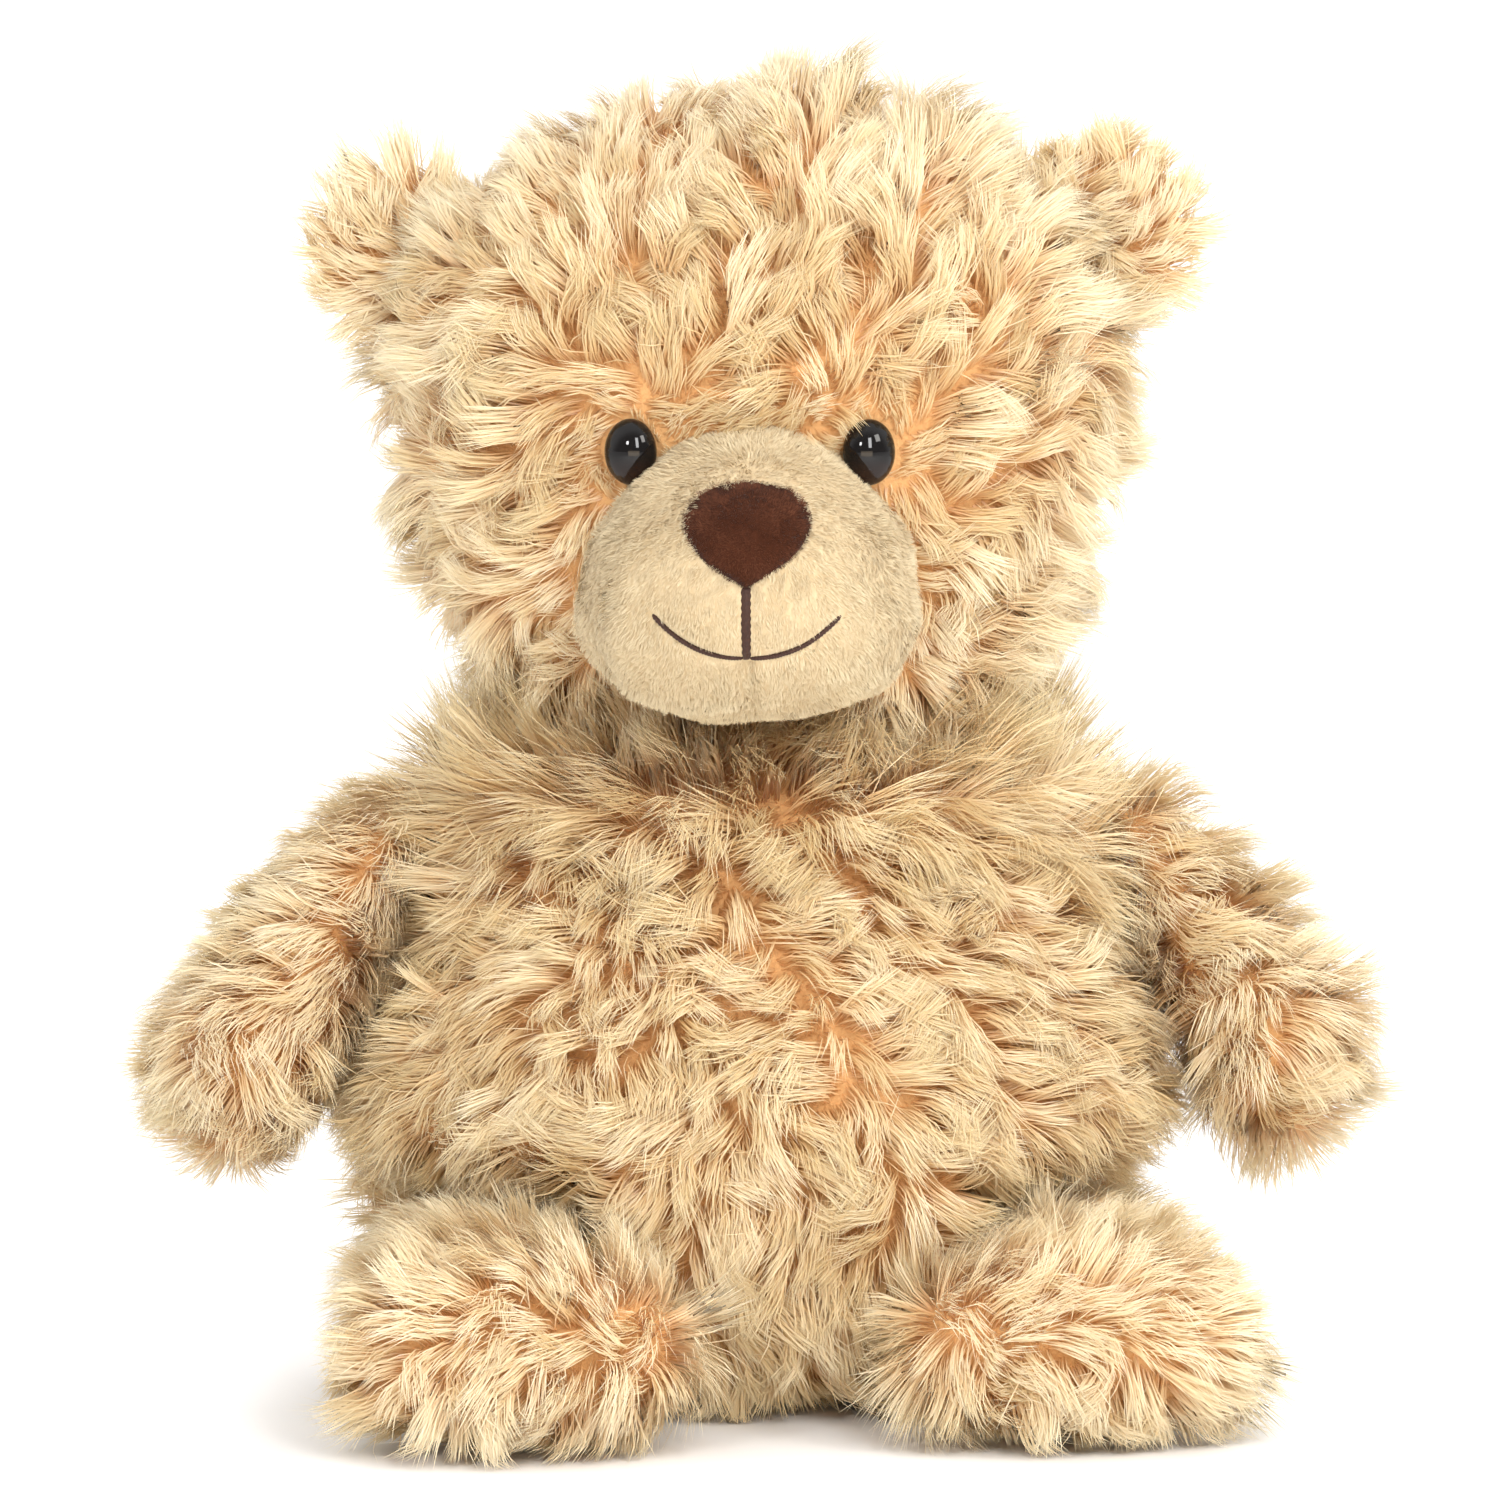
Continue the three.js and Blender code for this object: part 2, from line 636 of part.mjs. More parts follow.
function legSolids() {
  const rings = legRings.map(([forward, wide, tall, x, z]) => [forward, wide, tall, z, x]);
  const leg = stuffed(rings, legSteps, limbAround, legGeometry);
  const faceAt = (depth) => block([depth, footBack, -far], [far, far, far]);
  const free = block([-far, -far, -far], [far, footBack, far]);
  const faced = (solid, depth) => solid.intersect(faceAt(legRoom.inner + depth).add(free));
  const outside = faced(leg.outside, gap);
  const room = faced(leg.room, gap + plush);
  const filling = faced(leg.filling, gap + plush + gap);
  const shell = outside.subtract(room);
  const outerHalf = block([legSeam + gap / 2, -far, -far], [far, far, far]);
  const innerHalf = block([-far, -far, -far], [legSeam - gap / 2, far, far]);
  return {
    outer: shell.intersect(outerHalf),
    inner: shell.intersect(innerHalf).subtract(joints.hip.stemHole).subtract(joints.hip.limbPocket),
    stuffing: filling.subtract(joints.hip.limbPocket),
  };
}

function addLimb(bear, torso, limb, side, solids, joint, jointName) {
  const isLeft = side === "left";
  const on = (solid) => (isLeft ? solid : mirrored(solid));
  const group = new THREE.Group();
  addMesh(group, `${limb}_outer_${side}`, on(solids.outer), "fur");
  addMesh(group, `${limb}_inner_${side}`, on(solids.inner), "fur");
  addMesh(group, `${limb}_stuffing_${side}`, on(solids.stuffing), "stuffing");
  const placed = Object.fromEntries(["disc", "ring", "washer"].map((key) => [key, on(joint[key])]));
  addJoint(group, torso, `${jointName}_${side}`, placed);
  bear.add(group);
}

function buildBear() {
  const bear = new THREE.Group();
  const torso = new THREE.Group();
  const head = new THREE.Group();
  head.rotation.z = headTurn;
  bear.add(torso, head);
  addTorso(torso);
  addHead(head);
  addJoint(head, torso, "neck", joints.neck);
  const arm = armSolids();
  const leg = legSolids();
  for (const side of ["left", "right"]) {
    addLimb(bear, torso, "arm", side, arm, joints.shoulder, "shoulder");
    addLimb(bear, torso, "leg", side, leg, joints.hip, "hip");
  }
  return bear;
}

export default buildBear();
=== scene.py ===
import bpy
import json
import math
import numpy as np
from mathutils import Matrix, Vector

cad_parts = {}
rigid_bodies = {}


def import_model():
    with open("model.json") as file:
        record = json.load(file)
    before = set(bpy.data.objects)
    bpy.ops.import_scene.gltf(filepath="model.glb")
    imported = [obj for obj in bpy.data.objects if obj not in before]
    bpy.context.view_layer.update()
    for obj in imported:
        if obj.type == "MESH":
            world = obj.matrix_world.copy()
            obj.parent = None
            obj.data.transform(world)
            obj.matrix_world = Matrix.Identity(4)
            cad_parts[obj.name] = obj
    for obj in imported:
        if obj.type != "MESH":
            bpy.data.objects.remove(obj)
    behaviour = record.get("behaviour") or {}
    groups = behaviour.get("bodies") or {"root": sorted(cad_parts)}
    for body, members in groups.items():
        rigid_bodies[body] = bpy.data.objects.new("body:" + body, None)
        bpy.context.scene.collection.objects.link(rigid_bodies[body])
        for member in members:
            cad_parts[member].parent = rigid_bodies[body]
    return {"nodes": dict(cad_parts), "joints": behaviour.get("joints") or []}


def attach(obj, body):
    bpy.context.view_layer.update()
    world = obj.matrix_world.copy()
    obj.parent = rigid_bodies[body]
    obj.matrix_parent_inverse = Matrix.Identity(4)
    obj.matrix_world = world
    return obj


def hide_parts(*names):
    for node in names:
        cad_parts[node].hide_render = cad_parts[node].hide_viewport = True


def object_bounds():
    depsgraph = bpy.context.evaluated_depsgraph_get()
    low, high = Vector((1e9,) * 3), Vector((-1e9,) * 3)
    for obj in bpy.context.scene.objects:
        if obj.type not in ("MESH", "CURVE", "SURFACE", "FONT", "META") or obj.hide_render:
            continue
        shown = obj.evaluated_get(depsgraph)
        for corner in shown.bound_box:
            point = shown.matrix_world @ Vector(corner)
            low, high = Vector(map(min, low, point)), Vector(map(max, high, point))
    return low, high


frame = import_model()
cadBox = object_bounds()
nodes = frame["nodes"]
joints = {joint["name"]: joint for joint in frame["joints"]}
mm = 0.001
up = np.array([0.0, 0.0, 1.0])

# Every piece is worked out with numpy in metres, in the frame's own axes: +Z up, the face towards -Y.
# Left is the bear's own left, +X. Random draws come from one seeded generator for each piece.


def unit(vectors):
    return vectors / np.maximum(np.linalg.norm(vectors, axis=-1, keepdims=True), 1e-12)


def dot(first, second):
    return np.sum(first * second, axis=-1, keepdims=True)


def smooth(low, high, values):  # 0 below low, 1 above high, an S curve between
    share = np.clip((values - low) / (high - low), 0.0, 1.0)
    return share * share * (3 - 2 * share)


def between(ends, values):  # smooth between two places in millimetres
    return smooth(ends[0] * mm, ends[1] * mm, values)


def turnedAbout(points, axis, angle, centre=(0, 0, 0)):  # Rodrigues' rotation of many points
    axis = np.asarray(axis, float) / np.linalg.norm(axis)
    arm = points - np.asarray(centre)
    along = dot(arm, axis) * axis
    return along + (arm - along) * math.cos(angle) + np.cross(axis, arm) * math.sin(angle) + centre


def waves(points, size, seed, count=7):  # smooth vector noise: a sum of sine waves about size long
    rng = np.random.default_rng(seed)
    heading = unit(rng.normal(size=(count, 3))) * (2 * math.pi / size) * rng.uniform(0.6, 1.5, (count, 1))
    phase = rng.uniform(0, 2 * math.pi, (count, 3))
    push = rng.normal(size=(count, 3)) / math.sqrt(count) * 1.4
    total = np.zeros((len(points), 3))
    for k in range(count):
        total += push[k] * np.sin((points @ heading[k])[:, None] + phase[k])
    return total


def meshObject(name, vertices, faces, material):
    data = bpy.data.meshes.new(name)
    faces = np.asarray(faces, np.int32)
    data.vertices.add(len(vertices))
    data.vertices.foreach_set("co", np.asarray(vertices, np.float32).ravel())
    data.loops.add(faces.size)
    data.loops.foreach_set("vertex_index", faces.ravel())
    data.polygons.add(len(faces))
    data.polygons.foreach_set("loop_start", np.arange(0, faces.size, faces.shape[1], dtype=np.int32))
    data.update(calc_edges=True)
    data.validate()
    data.polygons.foreach_set("use_smooth", np.ones(len(data.polygons), bool))
    data.materials.append(material)
    piece = bpy.data.objects.new(name, data)
    bpy.context.scene.collection.objects.link(piece)
    return piece


def addAttribute(piece, name, values):  # one float at each vertex
    attribute = piece.data.attributes.new(name, "FLOAT", "POINT")
    attribute.data.foreach_set("value", np.asarray(values, np.float32).ravel())


def gridFaces(rows, columns):  # quads between rows of a grid whose columns close on themselves
    row = np.arange(rows - 1)[:, None]
    column = np.arange(columns)[None, :]
    after = (column + 1) % columns
    here, above = row * columns, (row + 1) * columns
    return np.stack([here + column, here + after, above + after, above + column], axis=-1).reshape(-1, 4)


def closedGrid(grid):  # triangles and vertices of a grid of rings, closed by a fan at each end
    rows, columns = grid.shape[:2]
    quads = gridFaces(rows, columns)
    triangles = np.concatenate([quads[:, [0, 1, 2]], quads[:, [0, 2, 3]]])
    first = grid[0].mean(axis=0)
    last = grid[-1].mean(axis=0)
    vertices = np.concatenate([grid.reshape(-1, 3), [first, last]])
    column = np.arange(columns)
    after = (column + 1) % columns
    firstFan = np.stack([np.full(columns, rows * columns), after, column], axis=-1)
    top = (rows - 1) * columns
    lastFan = np.stack([np.full(columns, rows * columns + 1), top + column, top + after], axis=-1)
    return vertices, np.concatenate([triangles, firstFan, lastFan])


def faceOut(vertices, triangles):  # turns every face round if the closed surface's volume is negative
    a, b, c = (vertices[triangles[:, k]] for k in range(3))
    if np.sum(a * np.cross(b, c)) < 0:
        return triangles[:, ::-1]
    return triangles


def vertexNormals(vertices, triangles):
    a, b, c = (vertices[triangles[:, k]] for k in range(3))
    across = np.cross(b - a, c - a)
    normals = np.zeros_like(vertices)
    for k in range(3):
        np.add.at(normals, triangles[:, k], across)
    return unit(normals)


def through(table, count):  # Catmull-Rom curve through a table's rows, at evenly spaced values of its index
    table = np.asarray(table, float)
    place = np.linspace(0, len(table) - 1, count)
    index = np.minimum(place.astype(int), len(table) - 2)
    share = (place - index)[:, None]
    padded = np.concatenate([2 * table[:1] - table[1:2], table, 2 * table[-1:] - table[-2:-1]])
    before, start, end, after = (padded[index + k] for k in range(4))
    slopeStart = (end - before) / 2
    slopeEnd = (after - start) / 2
    square = share * share
    cube = square * share
    return ((2 * cube - 3 * square + 1) * start + (cube - 2 * square + share) * slopeStart
            + (3 * square - 2 * cube) * end + (cube - square) * slopeEnd)


def drawnIn(rings, thick):  # the same rings, smaller by a thickness on every side
    low, high = rings[0][0], rings[-1][0]
    squeeze = (high - low - 2 * thick) / (high - low)
    made = []
    for height, wide, deep, *centre in rings:
        made.append([low + thick + (height - low) * squeeze, max(wide - thick, wide * 0.3),
                     max(deep - thick, deep * 0.3), *(list(centre) + [0, 0])[:2]])
    return made


def ringGrid(rings, thick, rows, columns):
    # ovals stacked along Z: x = centre x + half width * cos(angle), y = centre y + half depth * sin(angle)
    table = through(drawnIn(rings, thick), rows)
    angle = np.linspace(0, 2 * math.pi, columns, endpoint=False)
    x = table[:, 4:5] + table[:, 1:2] * np.cos(angle)
    y = table[:, 3:4] + table[:, 2:3] * np.sin(angle)
    z = np.broadcast_to(table[:, 0:1], x.shape)
    return np.stack([x, y, z], axis=-1) * mm


# Rings are [height, half width, half depth, centre y, centre x] in millimetres, on the mean surface of the fur
skinDepth = 5  # from the mean surface of the fur down to the cloth


class Wire:  # an output socket that can be used in arithmetic
    def __init__(self, shader, socket):
        self.shader = shader
        self.socket = socket

    def math(self, operation, first, second):
        return self.shader.node("ShaderNodeMath", {"operation": operation}, {0: first, 1: second})

    def __add__(self, other):
        return self.math("ADD", self, other)

    def __mul__(self, other):
        return self.math("MULTIPLY", self, other)

    def __sub__(self, other):
        return self.math("SUBTRACT", self, other)

    def __rsub__(self, other):
        return self.math("SUBTRACT", other, self)

    def __truediv__(self, other):
        return self.math("DIVIDE", self, other)

    __radd__ = __add__
    __rmul__ = __mul__


class Shader:
    def __init__(self, name):
        self.material = bpy.data.materials.new(name)
        self.material.use_nodes = True
        self.tree = self.material.node_tree
        self.tree.nodes.clear()

    def node(self, kind, settings=None, sockets=None, output=0):
        made = self.tree.nodes.new(kind)
        for key, value in (settings or {}).items():
            if key == "stops":
                self.setStops(made.color_ramp, value)
            else:
                setattr(made, key, value)
        for key, value in (sockets or {}).items():
            if isinstance(value, Wire):
                self.tree.links.new(value.socket, made.inputs[key])
            else:
                made.inputs[key].default_value = value
        return Wire(self, made.outputs[output]) if made.outputs else None

    def setStops(self, ramp, stops):
        while len(ramp.elements) < len(stops):
            ramp.elements.new(0.5)
        for element, (position, color) in zip(ramp.elements, stops):
            element.position = position
            element.color = (*color, 1)

    def objectPlace(self):
        return self.node("ShaderNodeTexCoord", output="Object")

    def noise(self, place, scale, detail=3, stretch=(1, 1, 1)):
        placed = self.node("ShaderNodeMapping", None, {"Vector": place, "Scale": stretch})
        return self.node("ShaderNodeTexNoise", None, {"Vector": placed, "Scale": scale, "Detail": detail})

    def mixed(self, share, first, second, how="MIX"):
        return self.node("ShaderNodeMix", {"data_type": "RGBA", "blend_type": how},
                         {0: share, 6: first, 7: second}, output=2)

    def finished(self, surface):
        self.node("ShaderNodeOutputMaterial", None, {"Surface": surface})
        return self.material


def opaque(color):  # adds full alpha to a colour
    return (*color, 1)


furStyle = {
    "density": 1.5,  # strands to a square millimetre
    "lock": 5.8,  # spacing of the locks
    "length": 16.5,
    "width": 0.31,
    "segments": 3,
    "rise": 70,  # degrees above the cloth at the root
    "fall": 13,  # degrees at the tip
    "swirl": 0.65,  # how far, in radians, the lie wanders from the combed direction
    "swirlSize": 30,
    "lockTurn": 0.42,
    "spread": 0.09,  # how far strands differ inside a lock
    "gather": 0.34,
    "curl": 0.6,
    "wave": 0.12,
    "scatter": 0.25,
    "stray": 0.04,  # share of strands that stand off their lock
    "tone": 0.3,  # 0 golden, 1 cream
    "root": (0.76, 0.43, 0.18),  # colours along a strand; the darker, warmer root is partly the fur's own colour and partly painted shade deep in the pile
    "middle": (0.83, 0.61, 0.32),
    "tip": (0.86, 0.73, 0.45),
    "warm": (0.74, 0.44, 0.19),  # in patches, near the roots
    "cream": (0.90, 0.83, 0.65),
    "through": 0.32,  # share of light that passes through a strand
}
furLimit = 39000  # strands in one piece, which keeps it under 200,000 triangles


def furMaterial():
    # colour runs from warm roots to cream tips, and each lock has its own tone; the darker roots are partly
    # painted shade for the depths of the pile
    shader = Shader("long_curly_pile")
    along = shader.node("ShaderNodeAttribute", {"attribute_name": "alongStrand"}, output="Fac")
    tone = shader.node("ShaderNodeAttribute", {"attribute_name": "strandTone"}, output="Fac")
    length = shader.node("ShaderNodeValToRGB", {"stops": [
        (0.0, furStyle["root"]), (0.42, furStyle["middle"]), (0.85, furStyle["tip"])]}, {"Fac": along})
    patches = shader.noise(shader.objectPlace(), 38, 2)
    warm = shader.mixed((patches - 0.42) * 1.6 * (1 - along), length, opaque(furStyle["warm"]))
    pale = shader.mixed(tone * 0.9 * along, warm, opaque(furStyle["cream"]))
    color = shader.mixed(1.0, pale, shader.node("ShaderNodeValToRGB", {"stops": [
        (0.0, (0.88, 0.85, 0.80)), (0.5, (1, 1, 1)), (1.0, (1, 1, 1))]}, {"Fac": tone}), "MULTIPLY")
    gloss = shader.node("ShaderNodeBsdfPrincipled", None, {
        "Base Color": color, "Roughness": 0.32, "Specular IOR Level": 0.55, "Sheen Weight": 0.1,
        "Sheen Roughness": 0.4})
    glow = shader.node("ShaderNodeBsdfTranslucent", None, {"Color": color})
    both = shader.node("ShaderNodeMixShader", None, {0: furStyle["through"], 1: gloss, 2: glow})
    return shader.finished(both)


def scattered(vertices, triangles, count, rng):
    # random places on a mesh: a face by its area, then a point in it, with the smoothed normal there
    normals = vertexNormals(vertices, triangles)
    a, b, c = (vertices[triangles[:, k]] for k in range(3))
    area = np.linalg.norm(np.cross(b - a, c - a), axis=1) / 2
    face = rng.choice(len(triangles), count, p=area / area.sum())
    root, other = np.sqrt(rng.random(count)), rng.random(count)
    weight = np.stack([1 - root, root * (1 - other), root * other], axis=1)[..., None]
    corner = triangles[face]
    return (vertices[corner] * weight).sum(axis=1), unit((normals[corner] * weight).sum(axis=1))


def spacedOut(points, spacing):  # the first point of each cell of a grid
    cells = np.floor(points / spacing).astype(np.int64)
    return np.unique(cells @ np.array([1, 4001, 4001 * 4001]), return_index=True)[1]


def nearest(points, centres):  # index of each point's closest centre
    found = np.empty(len(points), np.int64)
    for start in range(0, len(points), 4000):
        block = points[start:start + 4000]
        away = (block ** 2).sum(axis=1)[:, None] - 2 * block @ centres.T + (centres ** 2).sum(axis=1)
        found[start:start + 4000] = away.argmin(axis=1)
    return found


def groom(vertices, triangles, comb, style, seed, trim=None, paler=None):
    # Strands rooted at random on a mesh, in locks: a lock's strands share direction, lift, length and curl.
    # comb gives the lie of the fur at points, trim a length factor that is 0 where no fur grows, and paler
    # adds cream to the tone.
    rng = np.random.default_rng(seed)
    a, b, c = (vertices[triangles[:, k]] for k in range(3))
    area = np.linalg.norm(np.cross(b - a, c - a), axis=1).sum() / 2
    count = int(area / mm ** 2 * style["density"])
    roots, normals = scattered(vertices, triangles, count, rng)
    centres, lifts = scattered(vertices, triangles, count // 4, rng)
    chosen = spacedOut(centres, style["lock"] * mm)
    centres, lockNormals = centres[chosen], lifts[chosen]
    lockOf = nearest(roots, centres)
    scale = np.ones(len(roots)) if trim is None else trim(roots)
    kept = scale > 0.02
    roots, normals, lockOf, scale = roots[kept], normals[kept], lockOf[kept], scale[kept]

    heading = unit(comb(centres))
    heading = heading - dot(heading, lockNormals) * lockNormals
    standing = 1 - smooth(0.05, 0.6, np.linalg.norm(heading, axis=1))  # where the fur is combed off the cloth
    heading = unit(heading)
    aside = np.cross(lockNormals, heading)
    wander = style["swirl"] * waves(centres, style["swirlSize"] * mm, seed + 1)[:, :1]
    wander += style["lockTurn"] * rng.normal(size=wander.shape)
    heading = heading * np.cos(wander) + aside * np.sin(wander)
    ridge = waves(centres, 17 * mm, seed + 2)[:, 0]
    lockRise = np.radians(style["rise"] + 12 * standing + 10 * ridge + rng.normal(0, 6, len(centres)))
    lockFall = np.radians(style["fall"] + 40 * standing + 12 * ridge + rng.normal(0, 8, len(centres)))
    lockLong = 1 + 0.12 * ridge + rng.normal(0, 0.10, len(centres))
    drift = 0.6 * waves(centres, 20 * mm, seed + 3)[:, 1]
    lockCurl = style["curl"] * (drift + rng.normal(0, 0.6, len(centres)))
    cream = 0 if paler is None else paler(centres)
    lockTone = np.clip(style["tone"] + cream + 0.2 * rng.normal(size=len(centres)) + 0.15 * ridge, 0, 1)

    number = len(roots)
    stray = rng.random(number) < style["stray"]
    along = heading[lockOf] + np.where(stray, 0.6, style["spread"])[:, None] * rng.normal(size=(number, 3))
    along = unit(along - dot(along, normals) * normals)
    side = np.cross(normals, along)
    steps = style["segments"]
    reach = (np.arange(steps + 1) / steps)
    middle = (reach[1:] + reach[:-1]) / 2
    long = style["length"] * mm * scale * lockLong[lockOf] * rng.uniform(0.82, 1.12, number)
    rise = lockRise[lockOf] + rng.normal(0, 0.09, number)
    fall = lockFall[lockOf] + rng.normal(0, 0.10, number) + 0.35 * stray
    tilt = rise[:, None] + (fall - rise)[:, None] * smooth(0.0, 1.05, middle)
    bend = (lockCurl[lockOf] + rng.normal(0, 0.12, number))[:, None] * middle ** 1.3
    bent = along[:, None] * np.cos(bend)[..., None] + side[:, None] * np.sin(bend)[..., None]
    flat = np.cos(tilt)[..., None] * bent
    steep = np.sin(tilt)[..., None] * normals[:, None]
    moves = (flat + steep) * (long / steps)[:, None, None]
    path = np.concatenate([np.zeros((number, 1, 3)), np.cumsum(moves, axis=1)], axis=1) + roots[:, None]

    away = roots - centres[lockOf]
    away -= dot(away, normals) * normals
    gather = style["gather"] * np.sin(0.8 * math.pi * reach) * rng.uniform(0.6, 1.15, (number, 1))
    path -= away[:, None] * gather[..., None]
    turn = 2 * math.pi * (1.35 * reach[None] + rng.random(len(centres))[lockOf][:, None])
    sway = style["wave"] * mm * np.sin(turn) * reach * np.minimum(scale, 1)[:, None]
    path += side[:, None] * sway[..., None]
    path += style["scatter"] * mm * rng.normal(size=(number, 1, 3)) * reach[None, :, None]
    tone = np.clip(lockTone[lockOf] + rng.normal(0, 0.12, number), 0, 1)
    width = style["width"] * mm * rng.uniform(0.75, 1.2, number)
    return {"path": path, "normals": normals, "roots": roots, "tone": tone, "width": width, "rng": rng}


cadSize = np.array(cadBox[1]) - cadBox[0]
furRoom = (np.array(cadBox[0]) - 0.03 * cadSize - 7 * mm, np.array(cadBox[1]) + 0.03 * cadSize + 7 * mm)
furRoom[0][2] = 0.4 * mm  # tips stay above the floor


def strandPiece(name, strands, kept, material):
    # A strand is a flat ribbon that narrows to a point: two vertices at each level and one at its tip.
    path, normals = strands["path"][kept], strands["normals"][kept]
    tone, width = strands["tone"][kept], strands["width"][kept]
    number, levels = path.shape[:2]
    path = np.clip(path, furRoom[0], furRoom[1])
    run = unit(np.gradient(path, axis=1))
    roll = strands["rng"].normal(0, 0.38, number)[:, None, None]
    flat = unit(np.cross(run, normals[:, None]) + roll * normals[:, None])
    flat = unit(flat - dot(flat, run) * run)
    taper = 1 - 0.3 * np.linspace(0, 1, levels) ** 2
    half = flat * (width[:, None] * taper[None] / 2)[..., None]
    left, right = path[:, :-1] - half[:, :-1], path[:, :-1] + half[:, :-1]
    pairs = np.stack([left, right], axis=2).reshape(number, -1, 3)
    vertices = np.concatenate([pairs, path[:, -1:]], axis=1)
    size = vertices.shape[1]
    level = np.arange(levels - 2) * 2
    lower = np.stack([level, level + 1, level + 3], axis=1)
    upper = np.stack([level, level + 3, level + 2], axis=1)
    tip = np.array([[size - 3, size - 2, size - 1]])
    pattern = np.concatenate([lower, upper, tip])
    faces = (np.arange(number)[:, None, None] * size + pattern).reshape(-1, 3)
    outward = np.cross(run, flat)
    outward *= np.sign(dot(outward, normals[:, None]) + 1e-9)
    shading = unit(outward * 0.6 + normals[:, None] * 0.4)
    paired = np.repeat(shading[:, :-1], 2, axis=1)
    shading = np.concatenate([paired, shading[:, -1:]], axis=1).reshape(-1, 3)
    reach = np.linspace(0, 1, levels)
    along = np.append(np.repeat(reach[:-1], 2), 1.0)
    flatVertices = vertices.reshape(-1, 3)
    a, b, c = (flatVertices[faces[:, k]] for k in range(3))
    facing = np.sum(np.cross(b - a, c - a) * np.repeat(normals, len(pattern), axis=0), axis=1)
    faces[facing < 0] = faces[facing < 0][:, ::-1]
    piece = meshObject(name, flatVertices, faces, material)
    addAttribute(piece, "alongStrand", np.tile(along, number))
    addAttribute(piece, "strandTone", np.repeat(tone, size))
    piece.data.normals_split_custom_set_from_vertices(shading.astype(np.float32))
    return piece


def furPanels(strands, panels, body, material):
    # splits a groom at the seams: panels is a list of (cloth node, which roots are on it)
    for node, onPanel in panels:
        kept = onPanel & (np.cumsum(onPanel) <= furLimit)
        piece = strandPiece(f"fur_{node}", strands, kept, material)
        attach(piece, body)
        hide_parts(node)
        print(f"  {piece.name}: {len(piece.data.polygons)} faces")


def skinPiece(name, vertices, triangles, material, body, *replaced):
    piece = meshObject(name, vertices, triangles, material)
    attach(piece, body)
    if replaced:
        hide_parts(*replaced)
    return piece


def backingMaterial():
    # the knitted backing with the foot of the pile: warm tan with fine dark and light flecks
    shader = Shader("pile_backing")
    place = shader.objectPlace()
    fine = shader.noise(place, 900, 3)
    broad = shader.noise(place, 60, 2)
    color = shader.mixed(fine, opaque((0.55, 0.28, 0.11)), opaque((0.72, 0.44, 0.20)))
    color = shader.mixed(broad * 0.5, color, opaque((0.68, 0.38, 0.16)))
    bump = shader.node("ShaderNodeBump", None, {"Strength": 0.8, "Distance": 0.0006, "Height": fine})
    return shader.finished(shader.node("ShaderNodeBsdfPrincipled", None, {
        "Base Color": color, "Roughness": 0.95, "Specular IOR Level": 0.1, "Normal": bump}))


fur = furMaterial()
backing = backingMaterial()


torsoShape = {
    "rings": [[0, 58, 50, 2], [7, 76, 65, 1], [24, 88, 75, -1], [50, 93, 80, -3], [80, 90, 77, -3],
              [110, 80, 67, -1], [134, 70, 56, 1], [147, 57, 46, 2], [152.5, 44, 36, 2]],
    "room": {"inner": 44, "back": 8, "top": 53},  # hollow for a thigh under the belly
    "base": 7,  # height of the base panel's edge
    "sideSeam": 20,  # y of the seam between front and back
    "neckComb": (120, 142),  # heights between which the fur turns up round the neck
    "neckLong": (118, 140),  # and between which it lengthens
    "shoulderOut": (46, 64),  # where the fur of the shoulders starts, from the middle
    "shoulderHigh": (106, 124),
    "seat": (4, 16),  # heights between which the seat's short fur gives way to full fur
}


def torsoSkin():
    # the ring solid, with |x| held inside the pelvis wall where the thighs lie
    grid = ringGrid(torsoShape["rings"], skinDepth, 90, 132)
    room = torsoShape["room"]
    wall = (room["inner"] - skinDepth) * mm
    inRoom = 1 - smooth((room["top"] + 4) * mm, (room["top"] + 11) * mm, grid[..., 2])
    inRoom = inRoom * (1 - smooth((room["back"] + 4) * mm, (room["back"] + 11) * mm, grid[..., 1]))
    held = np.minimum(np.abs(grid[..., 0]), wall)
    grid[..., 0] = np.sign(grid[..., 0]) * (np.abs(grid[..., 0]) * (1 - inRoom) + held * inRoom)
    vertices, triangles = closedGrid(grid)
    return vertices, faceOut(vertices, triangles)


def torsoComb(points):  # down and away from the belly's centre seam, and off the cloth round the neck
    neck = between(torsoShape["neckComb"], points[:, 2])
    aside = np.tanh(points[:, 0] / (25 * mm)) * (0.8 - 0.5 * neck)
    forward = 0.9 * neck * points[:, 1] / (50 * mm)
    shoulder = between(torsoShape["shoulderOut"], np.abs(points[:, 0]))
    shoulder = shoulder * between(torsoShape["shoulderHigh"], points[:, 2])
    sideways = aside * (1 + 0.3 * neck + 1.3 * shoulder)
    upwards = 1.6 * neck + 0.9 * shoulder - 1.0
    return np.stack([sideways, forward, upwards], axis=1)


def torsoTrim(points):  # short in the thigh hollows and under the seat, long at the neck
    x, y, z = np.abs(points[:, 0]), points[:, 1], points[:, 2]
    room = torsoShape["room"]
    hollow = smooth(34 * mm, 40 * mm, x) * (1 - smooth((room["back"] - 2) * mm, (room["back"] + 6) * mm, y))
    hollow *= 1 - smooth((room["top"] - 6) * mm, (room["top"] + 4) * mm, z)
    seat = 1 - between(torsoShape["seat"], z)
    neck = between(torsoShape["neckLong"], z)
    shoulder = between(torsoShape["shoulderOut"], x) * between(torsoShape["shoulderHigh"], z)
    return (1 - 0.8 * hollow) * (1 - 0.75 * seat) * (1 + 0.9 * neck * (1 - shoulder) + 0.75 * shoulder)


